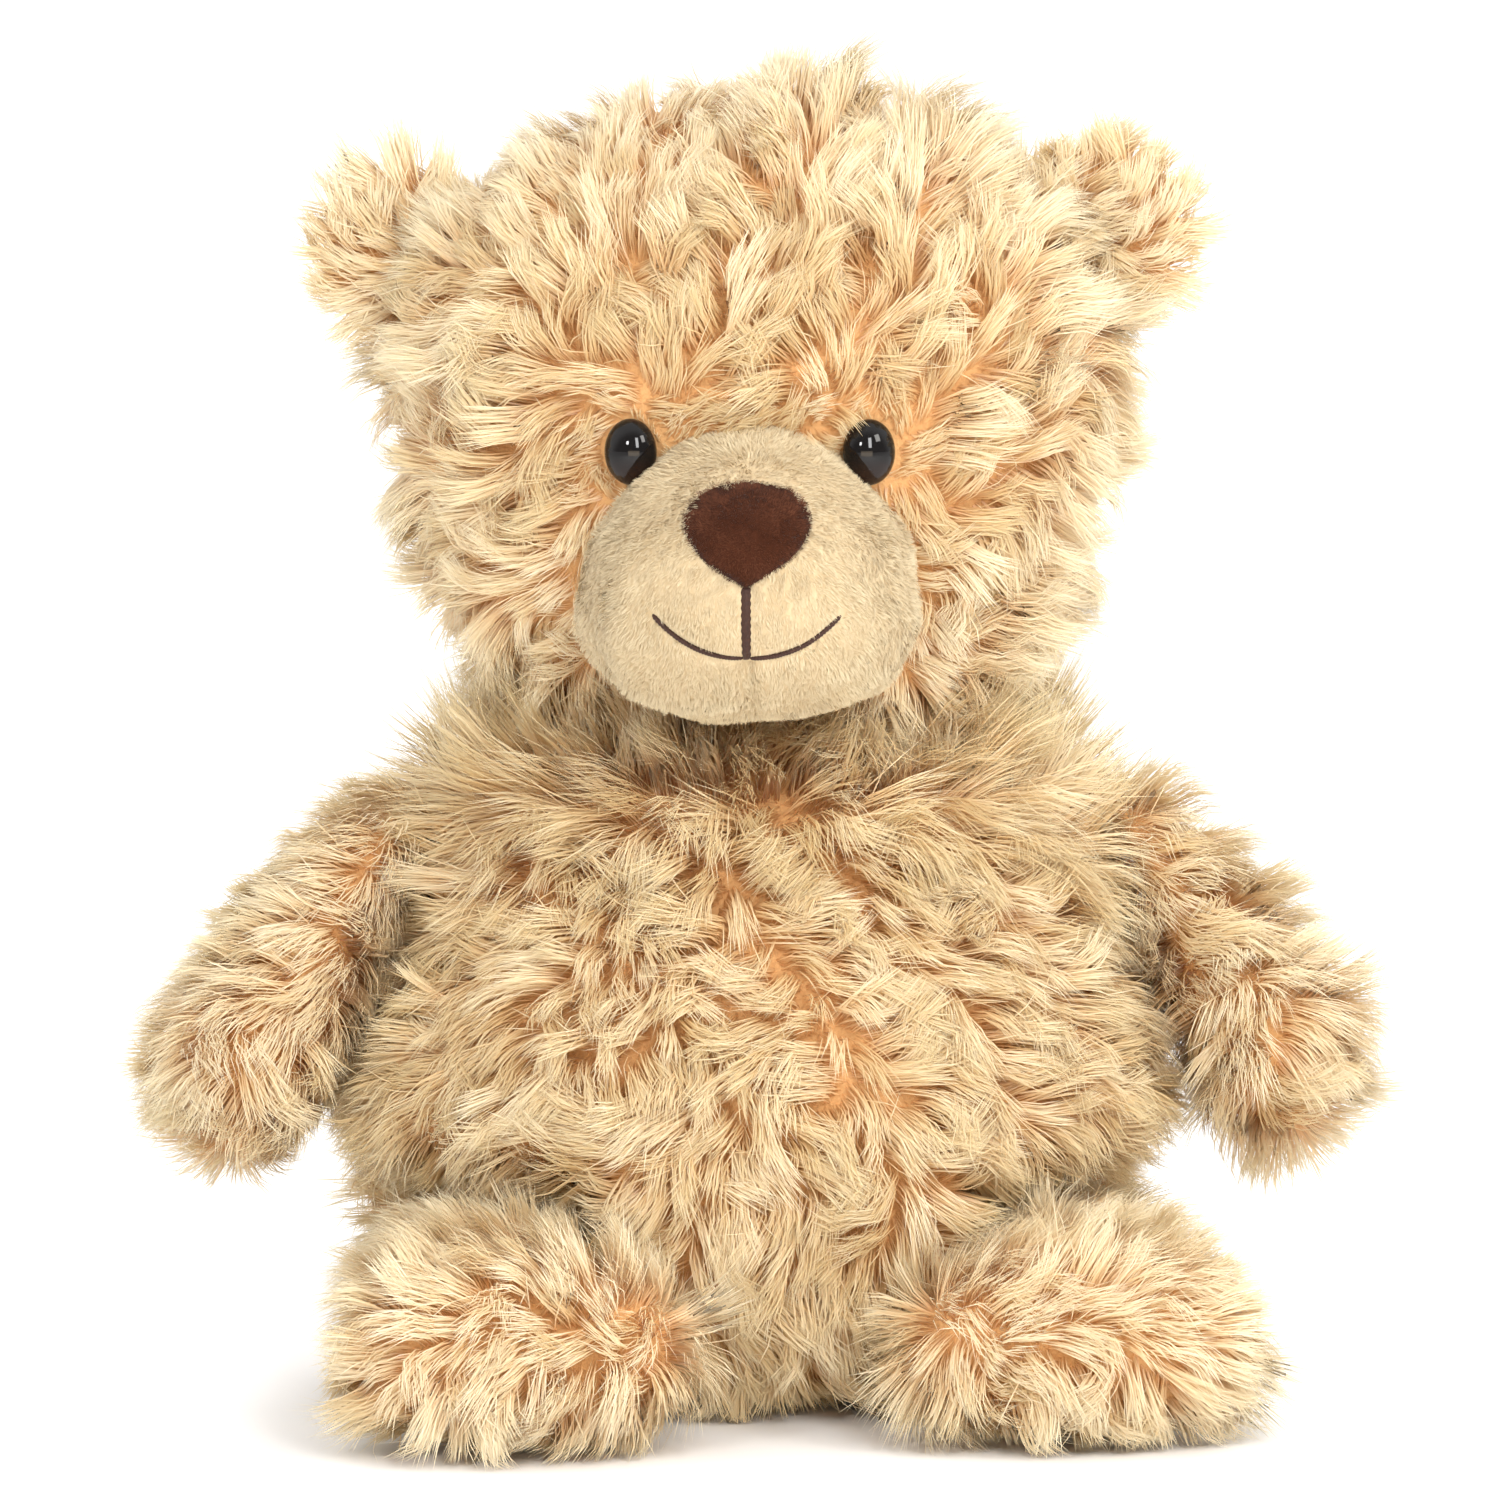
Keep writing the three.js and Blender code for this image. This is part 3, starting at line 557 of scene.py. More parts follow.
def buildTorso():
    vertices, triangles = torsoSkin()
    skinPiece("cloth_torso", vertices, triangles, backing, "torso", "body_stuffing")
    strands = groom(vertices, triangles, torsoComb, furStyle, 11, torsoTrim)
    x, y, z = strands["roots"].T
    base = z < torsoShape["base"] * mm
    back = ~base & (y > torsoShape["sideSeam"] * mm)
    front = ~base & ~back
    left = x >= 0
    furPanels(strands, [
        ("body_base", base),
        ("body_back_left", back & left),
        ("body_back_right", back & ~left),
        ("body_front_left", front & left),
        ("body_front_right", front & ~left),
    ], "torso", fur)
    return len(x)


headShape = {
    "rings": [[153.3, 42, 35, 0], [157, 54, 45, 0], [166, 63, 53, 0], [184, 72, 60, 0], [206, 78, 63, 0],
              [230, 83, 64, 1], [252, 81, 60, 2], [270, 70, 51, 3], [285, 52, 39, 4], [295.5, 28, 23, 5],
              [299.5, 7, 6, 5]],
    "turn": math.radians(-6.7),  # the head looks a little to the bear's right
    "gusset": 20,  # half width of the strip over the crown
    "gussetFront": 206,
    "fur": {"rise": 66, "fall": 11, "length": 16, "tone": 0.2},
    "chin": (156, 172),  # heights between which the long fur of the chin shortens
    "crown": (255, 280),
    "bareEye": 6.6,  # no fur grows this near to the middle of an eye
    "focus": (0, -75, 205),  # the fur of the face lies away from here
    "golden": (0, -60, 232),  # and is most golden round here
}


def headTurned(points):
    return turnedAbout(points, up, headShape["turn"])


muzzleShape = {
    "high": 193,
    "halfWidth": 37.2,
    "halfHeight": 32.5,
    "root": -55,
    "length": 44,
    "power": 2.3,
    "narrow": 0.21,
    "round": 0.06,
    "shade": (0.53, 0.405, 0.24),
    "nap": (0.60, 0.47, 0.295),
    "light": (0.73, 0.63, 0.43),
    "fur": {"density": 4.2, "lock": 2.6, "length": 1.7, "width": 0.20, "segments": 2, "rise": 50, "fall": 22,
            "swirl": 0.5, "swirlSize": 20, "lockTurn": 0.25, "gather": 0.2, "wave": 0.0, "curl": 0.3,
            "scatter": 0.05, "stray": 0.0},
}


def muzzleWidth(level):  # halfWidth * (1 - narrow * d - round * d^2), with d from -1 to 1 up the muzzle
    return muzzleShape["halfWidth"] * (1 - muzzleShape["narrow"] * level - muzzleShape["round"] * level ** 2)


def muzzleOutline(x, z):  # in mm: 0 at the muzzle's middle, 1 on its edge
    level = (z - muzzleShape["high"]) / muzzleShape["halfHeight"]
    across = np.abs(x / muzzleWidth(np.clip(level, -1.3, 1.3))) ** muzzleShape["power"]
    return (across + np.abs(level) ** muzzleShape["power"]) ** (1 / muzzleShape["power"])


def headTrim(points):  # none under the muzzle and the eyes, short beside them
    own = turnedAbout(points, up, -headShape["turn"])
    onFace = own[:, 1] < -20 * mm
    edge = muzzleOutline(own[:, 0] / mm, own[:, 2] / mm)
    bare = onFace & (edge < 0.93)
    byMuzzle = np.where(onFace, 0.55 + 0.45 * smooth(0.95, 1.4, edge), 1.0)
    scale = byMuzzle
    for sign in (-1, 1):
        middle = np.array([sign * eyeShape["out"], 0, eyeShape["high"]]) * mm
        away = np.hypot(own[:, 0] - middle[0], own[:, 2] - middle[2])
        bare |= onFace & (away < headShape["bareEye"] * mm)
        scale = scale * np.where(onFace, 0.35 + 0.65 * smooth(7 * mm, 19 * mm, away), 1.0)
    chin = 1 - between(headShape["chin"], own[:, 2])
    crown = between(headShape["crown"], own[:, 2])
    crown = crown * (0.1 - 0.25 * np.tanh(own[:, 0] / (25 * mm)))  # fuller towards the bear's left
    return np.where(bare, 0, scale * (1 + 0.8 * chin - crown))


def headComb(points):  # outwards from the muzzle, then down over the sides and back
    own = turnedAbout(points, up, -headShape["turn"])
    outward = unit(own - np.array(headShape["focus"]) * mm)
    down = np.array([0, 0, -1.0])
    behind = smooth(-30 * mm, 50 * mm, own[:, 1])[:, None]
    chin = 1 - smooth(158 * mm, 180 * mm, own[:, 2])[:, None]
    lie = outward * (1 - 0.5 * behind) * (1 - chin) + down * (0.15 + 0.75 * behind)
    return headTurned(lie + chin * np.array([0, -0.5, -0.8]) + chin * unit(own * [1, 1, 0]) * 0.3)


def headPaler(points):  # golden on the forehead and between the eyes, cream on the crown, cheeks and back
    own = turnedAbout(points, up, -headShape["turn"])
    away = np.linalg.norm((own - np.array(headShape["golden"]) * mm) * [0.8, 1, 1.2], axis=1)
    return 0.75 * smooth(28 * mm, 80 * mm, away) - 0.2


def buildHead():
    grid = headTurned(ringGrid(headShape["rings"], skinDepth, 90, 120).reshape(-1, 3)).reshape(90, 120, 3)
    vertices, triangles = closedGrid(grid)
    triangles = faceOut(vertices, triangles)
    skinPiece("cloth_head", vertices, triangles, backing, "head", "head_stuffing")
    style = dict(furStyle, **headShape["fur"])
    strands = groom(vertices, triangles, headComb, style, 23, headTrim, headPaler)
    x, y, z = turnedAbout(strands["roots"], up, -headShape["turn"]).T
    strip = (np.abs(x) < headShape["gusset"] * mm) & ((z > headShape["gussetFront"] * mm) | (y > 0))
    furPanels(strands, [("head_gusset", strip), ("head_side_left", ~strip & (x >= 0)),
                        ("head_side_right", ~strip & (x < 0))], "head", fur)
    return len(x)


earShape = {
    "out": 80,
    "back": 6,
    "high": {"left": 266, "right": 260},
    "radius": 22,
    "halfThick": 8.5,
    "clothIn": 5,  # the cloth's edge lies this far inside the outline
    "clothThin": 4,  # and its faces this far inside the faces
    "fur": {"length": 14, "rise": 66, "fall": 18, "swirl": 0.4, "density": 2.4, "tone": 0.75},
}


def buildEar(side):
    sign = 1 if side == "left" else -1
    rows, columns = 28, 48
    tilt = np.linspace(0.02, math.pi - 0.02, rows)[:, None]
    angle = np.linspace(0, 2 * math.pi, columns, endpoint=False)[None]
    radius, thick = earShape["radius"] - earShape["clothIn"], earShape["halfThick"] - earShape["clothThin"]
    x = sign * (earShape["out"] + radius * np.sin(tilt) * np.cos(angle))
    high = earShape["high"][side]
    z = high + radius * np.sin(tilt) * np.sin(angle)
    y = earShape["back"] + thick * np.cos(tilt) + 0 * angle
    grid = np.stack([x, y, z], axis=-1) * mm
    vertices, triangles = closedGrid(headTurned(grid.reshape(-1, 3)).reshape(rows, columns, 3))
    triangles = faceOut(vertices, triangles)
    skinPiece(f"cloth_ear_{side}", vertices, triangles, backing, "head")
    centre = headTurned(np.array([[sign * (earShape["out"] - 12), earShape["back"], high - 10]]) * mm)[0]

    def comb(points):  # out from the foot of the ear
        return unit(points - centre)

    style = dict(furStyle, **earShape["fur"])
    strands = groom(vertices, triangles, comb, style, 31 + sign)
    own = turnedAbout(strands["roots"], up, -headShape["turn"])
    front = own[:, 1] < earShape["back"] * mm
    furPanels(strands, [(f"ear_front_{side}", front), (f"ear_back_{side}", ~front)], "head", fur)
    return len(own)


mouthShape = {
    "drop": 177.6,  # height of the smile's middle
    "top": 194,
    "halfWidth": 21.4,
    "rise": 10,
    "curve": 2.4,
    "middle": 0.68,  # radius of each of the three threads of the middle stitch
    "apart": 0.55,  # and the distance between them
    "smile": 0.55,  # radius of the smile's thread
    "dark": (0.022, 0.007, 0.004),
    "brown": (0.055, 0.018, 0.009),
}


def smileHeight(x):
    share = np.abs(x) / mouthShape["halfWidth"]
    return mouthShape["drop"] + mouthShape["rise"] * share ** mouthShape["curve"]


def muzzleDents(x, z):
    # depth in mm: the seam under the mouth, the pull of the middle stitch and the smile's crease,
    # with the cheeks a little proud above the smile
    under = 3.0 * np.exp(-(x / 2.1) ** 2) * (1 - smooth(mouthShape["drop"] - 2, mouthShape["drop"] + 1, z))
    stitch = 1.0 * np.exp(-(x / 2.2) ** 2) * smooth(mouthShape["drop"] - 2, mouthShape["drop"] + 1, z)
    above = z - smileHeight(x)
    fade = 1 - smooth(mouthShape["halfWidth"] - 3, mouthShape["halfWidth"] + 4, np.abs(x))
    crease = 0.9 * np.exp(-(above / 1.5) ** 2) * fade
    cheek = 1.1 * np.exp(-((above - 7) / 6) ** 2) * np.exp(-((np.abs(x) - 11) / 8) ** 2)
    return under + stitch + crease - cheek


def muzzleY(x, z):  # y = root - length * sqrt(1 - |x / w|^p - |(z - high) / h|^p), plus the dents
    left = 1 - muzzleOutline(x, z) ** muzzleShape["power"]
    return muzzleShape["root"] - muzzleShape["length"] * np.sqrt(np.clip(left, 0, 1)) + muzzleDents(x, z)


def velourMaterial():
    # short nap brushed this way and that, drawn with painted light: broad soft patches of painted shade and
    # fine streaks of painted sheen, which also bump the surface
    shader = Shader("brushed_velour")
    place = shader.objectPlace()
    patches = shader.noise(place, 55, 3)
    streaks = shader.noise(place, 420, 3, (1.0, 1.0, 0.35))
    nap = shader.mixed((patches - 0.3) * 1.5, opaque(muzzleShape["shade"]), opaque(muzzleShape["nap"]))
    color = shader.mixed((streaks - 0.38) * 1.3, nap, opaque(muzzleShape["light"]))
    bump = shader.node("ShaderNodeBump", None, {"Strength": 0.35, "Distance": 0.0004, "Height": streaks})
    return shader.finished(shader.node("ShaderNodeBsdfPrincipled", None, {
        "Base Color": color, "Roughness": 0.85, "Specular IOR Level": 0.2, "Sheen Weight": 0.2,
        "Sheen Roughness": 0.35, "Normal": bump}))


def napMaterial(name, low, high):
    shader = Shader(name)
    along = shader.node("ShaderNodeAttribute", {"attribute_name": "alongStrand"}, output="Fac")
    tone = shader.node("ShaderNodeAttribute", {"attribute_name": "strandTone"}, output="Fac")
    # each blade goes from low at its root to high at its tip, mixed with its tone: on the muzzle from the
    # painted shade colour to the painted light one
    color = shader.mixed(along * 0.55 + tone * 0.45, opaque(low), opaque(high))
    return shader.finished(shader.node("ShaderNodeBsdfPrincipled", None, {
        "Base Color": color, "Roughness": 0.75, "Specular IOR Level": 0.15, "Sheen Weight": 0.08}))


def buildMuzzle():
    rows, columns = 120, 180
    power = muzzleShape["power"]
    tilt = np.linspace(0.004, math.pi / 2, rows)[:, None]
    angle = np.linspace(0, 2 * math.pi, columns, endpoint=False)[None]
    stretch = (np.abs(np.cos(angle)) ** power + np.abs(np.sin(angle)) ** power) ** (-1 / power)
    spread = np.sin(tilt) ** (2 / power) * stretch
    level = spread * np.sin(angle)
    x = muzzleWidth(level) * spread * np.cos(angle)
    z = muzzleShape["high"] + muzzleShape["halfHeight"] * level
    y = muzzleShape["root"] - muzzleShape["length"] * np.cos(tilt) + muzzleDents(x, z) * np.sqrt(np.cos(tilt))
    grid = np.stack([x, y, z], axis=-1)
    soft = waves(grid.reshape(-1, 3), 17, 61).reshape(grid.shape)[..., :1]
    middle = np.array([0, muzzleShape["root"], muzzleShape["high"]])
    grid += unit(grid - middle) * 0.28 * soft
    behind = grid[-1:] * [0.9, 1, 1] + [0, 4, 0]
    vertices, triangles = closedGrid(np.concatenate([grid, behind]) * mm)
    vertices = headTurned(vertices)
    triangles = faceOut(vertices, triangles)
    cover = meshObject("muzzle_cloth", vertices, triangles, velourMaterial())
    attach(cover, "head")
    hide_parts("muzzle_left", "muzzle_right")
    outward = headTurned(np.array([[0, -75, 200]]) * mm)[0]

    def comb(points):  # nap brushed down and away from the nose
        return unit(points - outward) + [0, 0, -0.5]

    def trim(points):
        x, y, z = turnedAbout(points, up, -headShape["turn"]).T / mm
        hidden = (y > -56) | ((np.abs(x) < 10) & (np.abs(z - 207) < 8))
        hidden |= (np.abs(x) < 1.5) & (z > mouthShape["drop"]) & (z < 200)
        above = z - smileHeight(x)
        hidden |= (above > -0.8) & (above < 2.1) & (np.abs(x) < mouthShape["halfWidth"] + 0.5)
        return np.where(hidden, 0.0, 1.0)

    style = dict(furStyle, **muzzleShape["fur"])
    nap = groom(vertices, triangles, comb, style, 67, trim)
    blades = strandPiece("muzzle_nap", nap, np.ones(len(nap["roots"]), bool),
                         napMaterial("velour_nap", muzzleShape["shade"], muzzleShape["light"]))
    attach(blades, "head")
    return len(nap["roots"])


noseShape = {
    "high": 207.5,
    "halfWidth": 14.2,
    "top": 8.8,
    "bottom": 13.8,
    "thick": 2.6,
    "shade": (0.026, 0.0075, 0.003),
    "flock": (0.070, 0.020, 0.008),
    "light": (0.15, 0.052, 0.025),
    "fur": {"density": 14, "lock": 1.6, "length": 0.75, "width": 0.09, "segments": 2, "rise": 75, "fall": 55,
            "swirl": 0.6, "swirlSize": 8, "lockTurn": 0.4, "gather": 0.1, "wave": 0.0, "curl": 0.0,
            "scatter": 0.04, "stray": 0.0},
}


def noseOutline(columns):
    # half ellipse above; below, the width falls off with a power of the cosine, then all is rounded off
    angle = np.linspace(0, 2 * math.pi, columns, endpoint=False)
    power = np.where(np.sin(angle) < 0, 2.1, 0.75)
    x = noseShape["halfWidth"] * np.sign(np.cos(angle)) * np.abs(np.cos(angle)) ** power
    z = np.where(np.sin(angle) < 0, noseShape["bottom"], noseShape["top"]) * np.sin(angle)
    outline = np.stack([x, z], axis=-1)
    for _ in range(6):
        outline = (np.roll(outline, 1, axis=0) + 2 * outline + np.roll(outline, -1, axis=0)) / 4
    return outline


def buildNose():
    rows, columns = 34, 96
    outline = noseOutline(columns)[None]
    share = np.sin(np.linspace(0.02, math.pi / 2, rows))[:, None, None]
    flat = outline * share
    x, z = flat[..., 0], flat[..., 1] + noseShape["high"]
    height = noseShape["thick"] * np.sqrt(1 - share[..., 0] ** 6) + 1.3 * (1 - share[..., 0] ** 2)
    smoothRest = muzzleY(x, z) - muzzleDents(x, z)
    grid = np.stack([x, smoothRest + 0.3 - height, z], axis=-1)
    behind = grid[-1:] + [0, 3, 0]
    vertices, triangles = closedGrid(np.concatenate([grid, behind]) * mm)
    vertices = headTurned(vertices)
    triangles = faceOut(vertices, triangles)
    shader = Shader("flocked_brown")
    speck = shader.noise(shader.objectPlace(), 1100, 2)
    color = shader.mixed(speck, opaque(noseShape["shade"]), opaque(noseShape["flock"]))
    bump = shader.node("ShaderNodeBump", None, {"Strength": 0.5, "Distance": 0.0003, "Height": speck})
    flocked = shader.finished(shader.node("ShaderNodeBsdfPrincipled", None, {
        "Base Color": color, "Roughness": 0.9, "Specular IOR Level": 0.1, "Sheen Weight": 0.05,
        "Normal": bump}))
    pad = meshObject("nose_pad", vertices, triangles, flocked)
    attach(pad, "head")
    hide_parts("nose")
    centre = headTurned(np.array([[0, -90, noseShape["high"]]]) * mm)[0]
    style = dict(furStyle, **noseShape["fur"])
    flock = groom(vertices, triangles, lambda points: unit(points - centre), style, 71)
    blades = strandPiece("nose_flock", flock, np.ones(len(flock["roots"]), bool),
                         napMaterial("brown_flock", noseShape["flock"], noseShape["light"]))
    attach(blades, "head")
    return len(flock["roots"])


def rope(name, path, radius, plies, turns, material):
    # round tube along a path: each section's radius swells with the plies, which turn along the length
    steps, columns = len(path), 18
    run = unit(np.gradient(path, axis=0))
    side = unit(np.cross(run, np.array([0, -1.0, 0])))
    lift = np.cross(run, side)
    angle = np.linspace(0, 2 * math.pi, columns, endpoint=False)[None]
    along = np.linspace(0, 1, steps)[:, None]
    end = np.sqrt(np.clip(1 - np.abs(2 * along - 1) ** 30, 0.02, 1))
    swell = radius * end * (1 + 0.16 * np.cos(plies * (angle - 2 * math.pi * turns * along)))
    ring = side[:, None] * np.cos(angle)[..., None] + lift[:, None] * np.sin(angle)[..., None]
    vertices, triangles = closedGrid((path[:, None] + ring * swell[..., None]) * mm)
    vertices = headTurned(vertices)
    piece = meshObject(name, vertices, faceOut(vertices, triangles), material)
    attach(piece, "head")
    return piece


def buildMouth():
    shader = Shader("brown_embroidery_thread")
    speck = shader.noise(shader.objectPlace(), 2600, 2, (1.0, 1.0, 0.4))
    color = shader.mixed(speck, opaque(mouthShape["dark"]), opaque(mouthShape["brown"]))
    thread = shader.finished(shader.node("ShaderNodeBsdfPrincipled", None, {
        "Base Color": color, "Roughness": 0.6, "Specular IOR Level": 0.35, "Sheen Weight": 0.1}))
    z = np.linspace(mouthShape["top"], mouthShape["drop"] - 0.4, 40)
    for k, offset in enumerate((-mouthShape["apart"], 0.0, mouthShape["apart"])):
        x = offset * (1 - 0.45 * np.linspace(0, 1, 40) ** 2)
        path = np.stack([x, muzzleY(x, z) - 0.4 - 0.25 * (offset == 0), z], axis=-1)
        piece = rope(f"mouth_middle_{k}", path, mouthShape["middle"], 2, 5, thread)
        if k == 1:
            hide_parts("mouth_stitch_middle")
    for side, sign in (("left", 1), ("right", -1)):
        x = sign * np.linspace(0.7, mouthShape["halfWidth"] - 0.4, 120)
        height = smileHeight(x)
        # each back stitch dips in at its ends
        stitch = 0.18 * np.abs(np.sin(np.linspace(0, 5 * math.pi, 120)))
        path = np.stack([x, muzzleY(x, height) - 0.35 - stitch, height], axis=-1)
        smile = rope(f"mouth_smile_{side}", path, mouthShape["smile"], 2, 16, thread)
        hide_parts(f"mouth_stitch_{side}")


eyeShape = {
    "out": 26.8,
    "high": 220.5,
    "halfWidth": 6,
    "halfHeight": 7.5,
    "dome": 5,
    "turn": math.radians(17),
    "black": (0.006, 0.005, 0.005),
    "brown": (0.07, 0.022, 0.009),
}


def eyeMaterial():
    shader = Shader("black_eye_gloss")
    place = shader.objectPlace()
    height = shader.node("ShaderNodeSeparateXYZ", None, {0: place}, output="Z")
    low = (eyeShape["high"] * mm - height) / (eyeShape["halfHeight"] * mm)
    depth = shader.noise(place, 130, 2)
    color = shader.mixed((low - 0.15) * 0.7 * depth, opaque(eyeShape["black"]), opaque(eyeShape["brown"]))
    return shader.finished(shader.node("ShaderNodeBsdfPrincipled", None, {
        "Base Color": color, "Roughness": 0.045, "Specular IOR Level": 0.32}))


def buildEyes():
    gloss = eyeMaterial()
    rings = np.array([ring[:4] for ring in headShape["rings"]])
    wide, deep, centre = (np.interp(eyeShape["high"], rings[:, 0], rings[:, k]) for k in (1, 2, 3))
    surface = centre - deep * math.sqrt(1 - (eyeShape["out"] / wide) ** 2)
    rows, columns = 40, 72
    tilt = np.linspace(0.01, math.pi * 0.62, rows)[:, None]
    angle = np.linspace(0, 2 * math.pi, columns, endpoint=False)[None]
    across = eyeShape["halfWidth"] * np.sin(tilt) * np.cos(angle)
    tall = eyeShape["halfHeight"] * np.sin(tilt) * np.sin(angle)
    out = eyeShape["dome"] * np.cos(tilt) + 0 * angle
    for side, sign in (("left", 1), ("right", -1)):
        turn = sign * eyeShape["turn"]
        x = sign * eyeShape["out"] + across * math.cos(turn) + out * math.sin(turn)
        y = surface + across * math.sin(turn) - out * math.cos(turn)
        vertices, triangles = closedGrid(np.stack([x, y, eyeShape["high"] + tall], axis=-1) * mm)
        vertices = headTurned(vertices)
        piece = meshObject(f"eye_dome_{side}", vertices, faceOut(vertices, triangles), gloss)
        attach(piece, "head")
        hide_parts(f"eye_{side}")


armShape = {
    "rings": [[-31, 7, 3, 5.5], [-26, 14, 5.5, 7.5], [-14, 19.5, 10.5, 11.5], [5, 21.5, 14, 14.8],
              [30, 22.5, 17, 17.8], [49, 24, 19.5, 20.2], [61, 21, 17, 19.5], [69.5, 12, 10.5, 18.5],
              [72.5, 4.5, 4, 18]],
    "forward": math.radians(18),
    "seam": 17,
    "fur": {"length": 16.5, "swirl": 0.6, "density": 1.85, "tone": 0.75},
    "paw": (66, 18),  # the paw's middle, down the arm and out of the body's side
    "pawRound": 26,
}


def buildArm(side):
    joint = joints[f"shoulder_{side}"]
    sign = 1 if side == "left" else -1
    at = np.array(joint["pos_m"])
    axis = -sign * np.array(joint["axis"])  # out of the body's side
    swing = armShape["forward"]
    grid = ringGrid(armShape["rings"], skinDepth, 56, 72)
    out, across, down = grid[..., 1], grid[..., 0], grid[..., 2]
    hang = np.cross(axis, [0, 1, 0]) * sign  # along the body's side, downwards
    hang = hang if hang[2] < 0 else -hang
    back = np.array([0, 1.0, 0])
    world = at + out[..., None] * axis + across[..., None] * back + down[..., None] * hang
    world = turnedAbout(world.reshape(-1, 3), joint["axis"], swing, at).reshape(world.shape)
    vertices, triangles = closedGrid(world)
    triangles = faceOut(vertices, triangles)
    skinPiece(f"cloth_arm_{side}", vertices, triangles, backing, f"arm_{side}", f"arm_stuffing_{side}")
    lie = turnedAbout(hang[None], joint["axis"], swing)[0]
    pawDown, pawOut = armShape["paw"]
    paw = at + lie * pawDown * mm + axis * pawOut * mm

    def comb(points):  # over the shoulder, down the arm, and round the paw away from its middle
        top = 1 - smooth(-24 * mm, -2 * mm, (points - at) @ lie)[:, None]
        away = np.linalg.norm(points - paw, axis=1) / (armShape["pawRound"] * mm)
        nearPaw = smooth(0.0, 1.0, 1 - away)[:, None]
        down = lie * (1 - 0.5 * top - 0.5 * nearPaw)
        return down + axis * (0.3 + 0.6 * top) + unit(points - paw) * nearPaw * 0.9

    def trim(points):  # short on the side that lies against the body, and a little shorter at the shoulder
        top = 1 - smooth(-22 * mm, -6 * mm, (points - at) @ lie)
        return (0.7 + 0.3 * smooth(4 * mm, 13 * mm, (points - at) @ axis)) * (1 - 0.15 * top)

    style = dict(furStyle, **armShape["fur"])
    strands = groom(vertices, triangles, comb, style, 41 + sign, trim)
    outer = (strands["roots"] - at) @ axis > armShape["seam"] * mm
    furPanels(strands, [(f"arm_outer_{side}", outer), (f"arm_inner_{side}", ~outer)], f"arm_{side}", fur)
    return len(outer)


legShape = {
    "rings": [[-4, 6, 7, 26, 67], [-1, 13, 14.5, 26, 67], [6, 19, 20.5, 26, 67], [20, 21.5, 23.5, 26, 67],
              [52, 22, 23, 26, 67.2], [74, 23, 22.5, 25, 67], [88, 35, 23, 24, 63.5],
              [101, 40, 23, 23.6, 62.5], [113, 36, 20.5, 23.6, 62.5], [120, 24, 13, 23.6, 62.5],
              [122.5, 9, 5.5, 23.6, 62.5]],
    "seam": 64,
    "fur": {"length": 15.5, "swirl": 0.5, "density": 1.65, "tone": 0.7},
    "lie": (0.9, 0.1, -0.5),  # outwards across the foot and down
    "thigh": (-80, -54),  # y between which the full fur of the foot gives way to the thigh's
    "outside": (68, 82),  # x between which the thigh's short inner fur lengthens
    "floor": (5, 15),
}


def buildLeg(side):
    sign = 1 if side == "left" else -1
    grid = ringGrid(legShape["rings"], skinDepth, 64, 80)
    world = np.stack([sign * grid[..., 0], -grid[..., 2], grid[..., 1]], axis=-1)
    vertices, triangles = closedGrid(world)
    triangles = faceOut(vertices, triangles)
    skinPiece(f"cloth_leg_{side}", vertices, triangles, backing, f"leg_{side}", f"leg_stuffing_{side}")

    def comb(points):  # outwards across the foot and down
        return np.array(legShape["lie"]) * [sign, 1, 1] + np.zeros_like(points)

    def trim(points):  # short under the belly, on the inside of the thigh and on the floor
        inside = 1 - between(legShape["outside"], np.abs(points[:, 0]))
        thigh = between(legShape["thigh"], points[:, 1]) * inside
        floor = 1 - between(legShape["floor"], points[:, 2])
        return (1 - 0.5 * thigh) * (1 - 0.6 * floor)

    style = dict(furStyle, **legShape["fur"])
    strands = groom(vertices, triangles, comb, style, 51 + sign, trim)
    outer = np.abs(strands["roots"][:, 0]) > legShape["seam"] * mm
    furPanels(strands, [(f"leg_outer_{side}", outer), (f"leg_inner_{side}", ~outer)], f"leg_{side}", fur)
    return len(outer)


def plasticNodes():  # the joint sets and the small washers keep their CAD shape
    shader = Shader("joint_plastic_satin")
    speck = shader.noise(shader.objectPlace(), 700, 2)
    color = shader.mixed(speck, (0.74, 0.71, 0.63, 1), (0.80, 0.78, 0.71, 1))
    bump = shader.node("ShaderNodeBump", None, {"Strength": 0.15, "Distance": 0.0001, "Height": speck})
    plastic = shader.finished(shader.node("ShaderNodeBsdfPrincipled", None, {
        "Base Color": color, "Roughness": 0.42, "Specular IOR Level": 0.5, "Normal": bump}))
    for name, node in nodes.items():
        if name.endswith(("_disc", "_washer", "_lock_ring")) or "_washer_" in name:
            for slot in node.material_slots:
                slot.material = plastic


plasticNodes()
print("joint sets and washers have their plastic")
print("muzzle: strands of nap", buildMuzzle())
print("nose: strands of flock", buildNose())
buildMouth()
print("mouth is stitched")
buildEyes()
print("eyes are in")
print("torso: strands of fur", buildTorso())
print("head: strands of fur", buildHead())
for side in ("left", "right"):
    print(f"{side} ear: strands of fur", buildEar(side))
    print(f"{side} arm: strands of fur", buildArm(side))
    print(f"{side} leg: strands of fur", buildLeg(side))


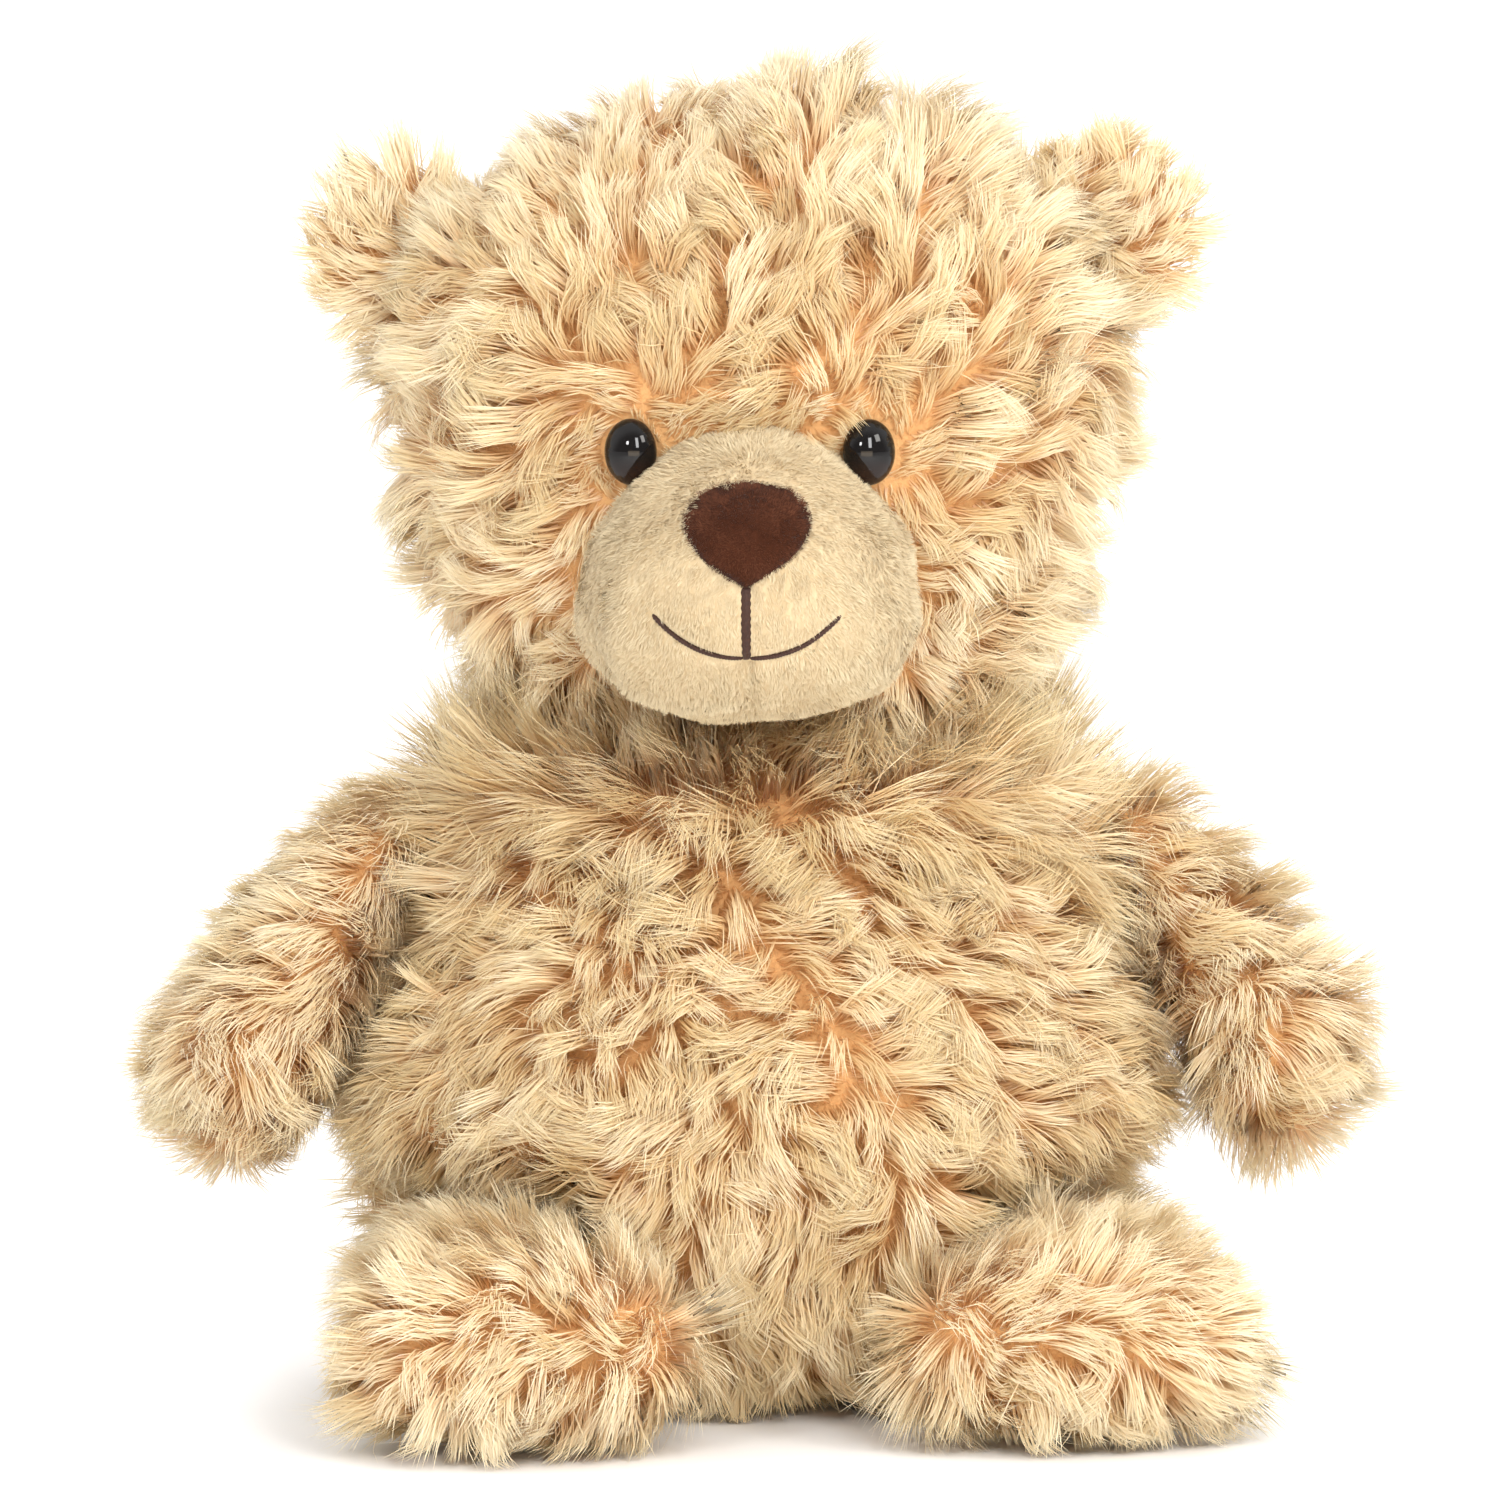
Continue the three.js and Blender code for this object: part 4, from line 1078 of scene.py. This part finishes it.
stageSettings = {
    "distance": 3.0,
    "wide": 0.345,  # width of the view at the target
    "azimuth": -5.5,
    "elevation": 6.5,
    "target": (-0.0012, 0, 0.1463),
    "sensor": 36,
    "floorReach": 6.0,
    "floorColor": (0.93, 0.93, 0.93),
    "sky": {"From Min": -0.45, "From Max": 0.2, "To Min": 0.3, "To Max": 1.2},
    "skyLift": 0.6,
}
lamps = [  # name, place, aim, size, power, colour
    ("key", (1.1, -1.2, 1.2), (0, 0, 0.16), (0.6, 0.6), 13, (1.0, 0.97, 0.92)),
    ("low_fill", (-0.1, -1.3, 0.10), (0, 0, 0.13), (1.0, 0.3), 3.2, (1.0, 0.80, 0.58)),
    ("back", (1.2, 4.2, 3.4), (0, 0, 0.2), (2.4, 1.8), 85, (1, 1, 1)),
    ("catch_left", (-0.55, -1.0, 0.62), (0, -0.06, 0.22), (0.16, 0.16), 4.0, (1, 1, 1)),
    ("catch_right", (0.16, -1.05, 0.64), (0, -0.06, 0.22), (0.22, 0.5), 6.5, (1, 1, 1)),
]


def buildCamera():
    camera = bpy.data.cameras.new("camera")
    camera.sensor_width = stageSettings["sensor"]
    camera.lens = stageSettings["sensor"] * stageSettings["distance"] / stageSettings["wide"]
    camera.clip_start = 0.01
    holder = bpy.data.objects.new("camera", camera)
    bpy.context.scene.collection.objects.link(holder)
    azimuth, elevation = math.radians(stageSettings["azimuth"]), math.radians(stageSettings["elevation"])
    back = np.array([math.sin(azimuth) * math.cos(elevation), -math.cos(azimuth) * math.cos(elevation),
                     math.sin(elevation)])
    holder.location = np.array(stageSettings["target"]) + back * stageSettings["distance"]
    holder.rotation_euler = (math.pi / 2 - elevation, 0, azimuth)
    bpy.context.scene.camera = holder


def buildFloor():
    shader = Shader("pale_floor")
    surface = shader.node("ShaderNodeBsdfPrincipled", None, {
        "Base Color": opaque(stageSettings["floorColor"]), "Roughness": 0.9})
    size = stageSettings["floorReach"]
    corners = np.array([[-size, -size, 0], [size, -size, 0], [size, size, 0], [-size, size, 0]])
    floor = meshObject("floor", corners, [[0, 1, 2, 3]], shader.finished(surface))


def addLight(name, place, aim, size, power, color):
    data = bpy.data.lights.new(name, "AREA")
    data.shape = "RECTANGLE"
    data.size, data.size_y = size
    data.energy = power
    data.color = color
    light = bpy.data.objects.new(name, data)
    light.location = place
    towards = np.array(aim) - np.array(place)
    light.rotation_euler = Vector(towards).to_track_quat("-Z", "Y").to_euler()
    bpy.context.scene.collection.objects.link(light)


def buildLights():
    world = bpy.data.worlds.new("studio")
    world.use_nodes = True
    # white behind and above, dimmer behind the camera: brightness follows y + lift * z of each direction
    tree = world.node_tree
    place = tree.nodes.new("ShaderNodeTexCoord")
    parts = tree.nodes.new("ShaderNodeSeparateXYZ")
    lean = tree.nodes.new("ShaderNodeMath")
    lean.operation = "MULTIPLY_ADD"
    lean.inputs[1].default_value = stageSettings["skyLift"]
    level = tree.nodes.new("ShaderNodeMapRange")
    level.interpolation_type = "SMOOTHSTEP"
    for name, value in stageSettings["sky"].items():
        level.inputs[name].default_value = value
    tree.links.new(place.outputs["Generated"], parts.inputs[0])
    tree.links.new(parts.outputs["Z"], lean.inputs[0])
    tree.links.new(parts.outputs["Y"], lean.inputs[2])
    tree.links.new(lean.outputs[0], level.inputs["Value"])
    tree.links.new(level.outputs[0], tree.nodes["Background"].inputs["Strength"])
    tree.nodes["Background"].inputs["Color"].default_value = (1, 1, 1, 1)
    bpy.context.scene.world = world
    bpy.context.scene.view_settings.view_transform = "Standard"
    for lamp in lamps:
        addLight(*lamp)


buildCamera()
buildFloor()
buildLights()
print("camera, floor and lights are set")

triangleCount = sum(len(piece.data.polygons) for piece in bpy.data.objects if piece.type == "MESH")
print("faces in all", triangleCount)
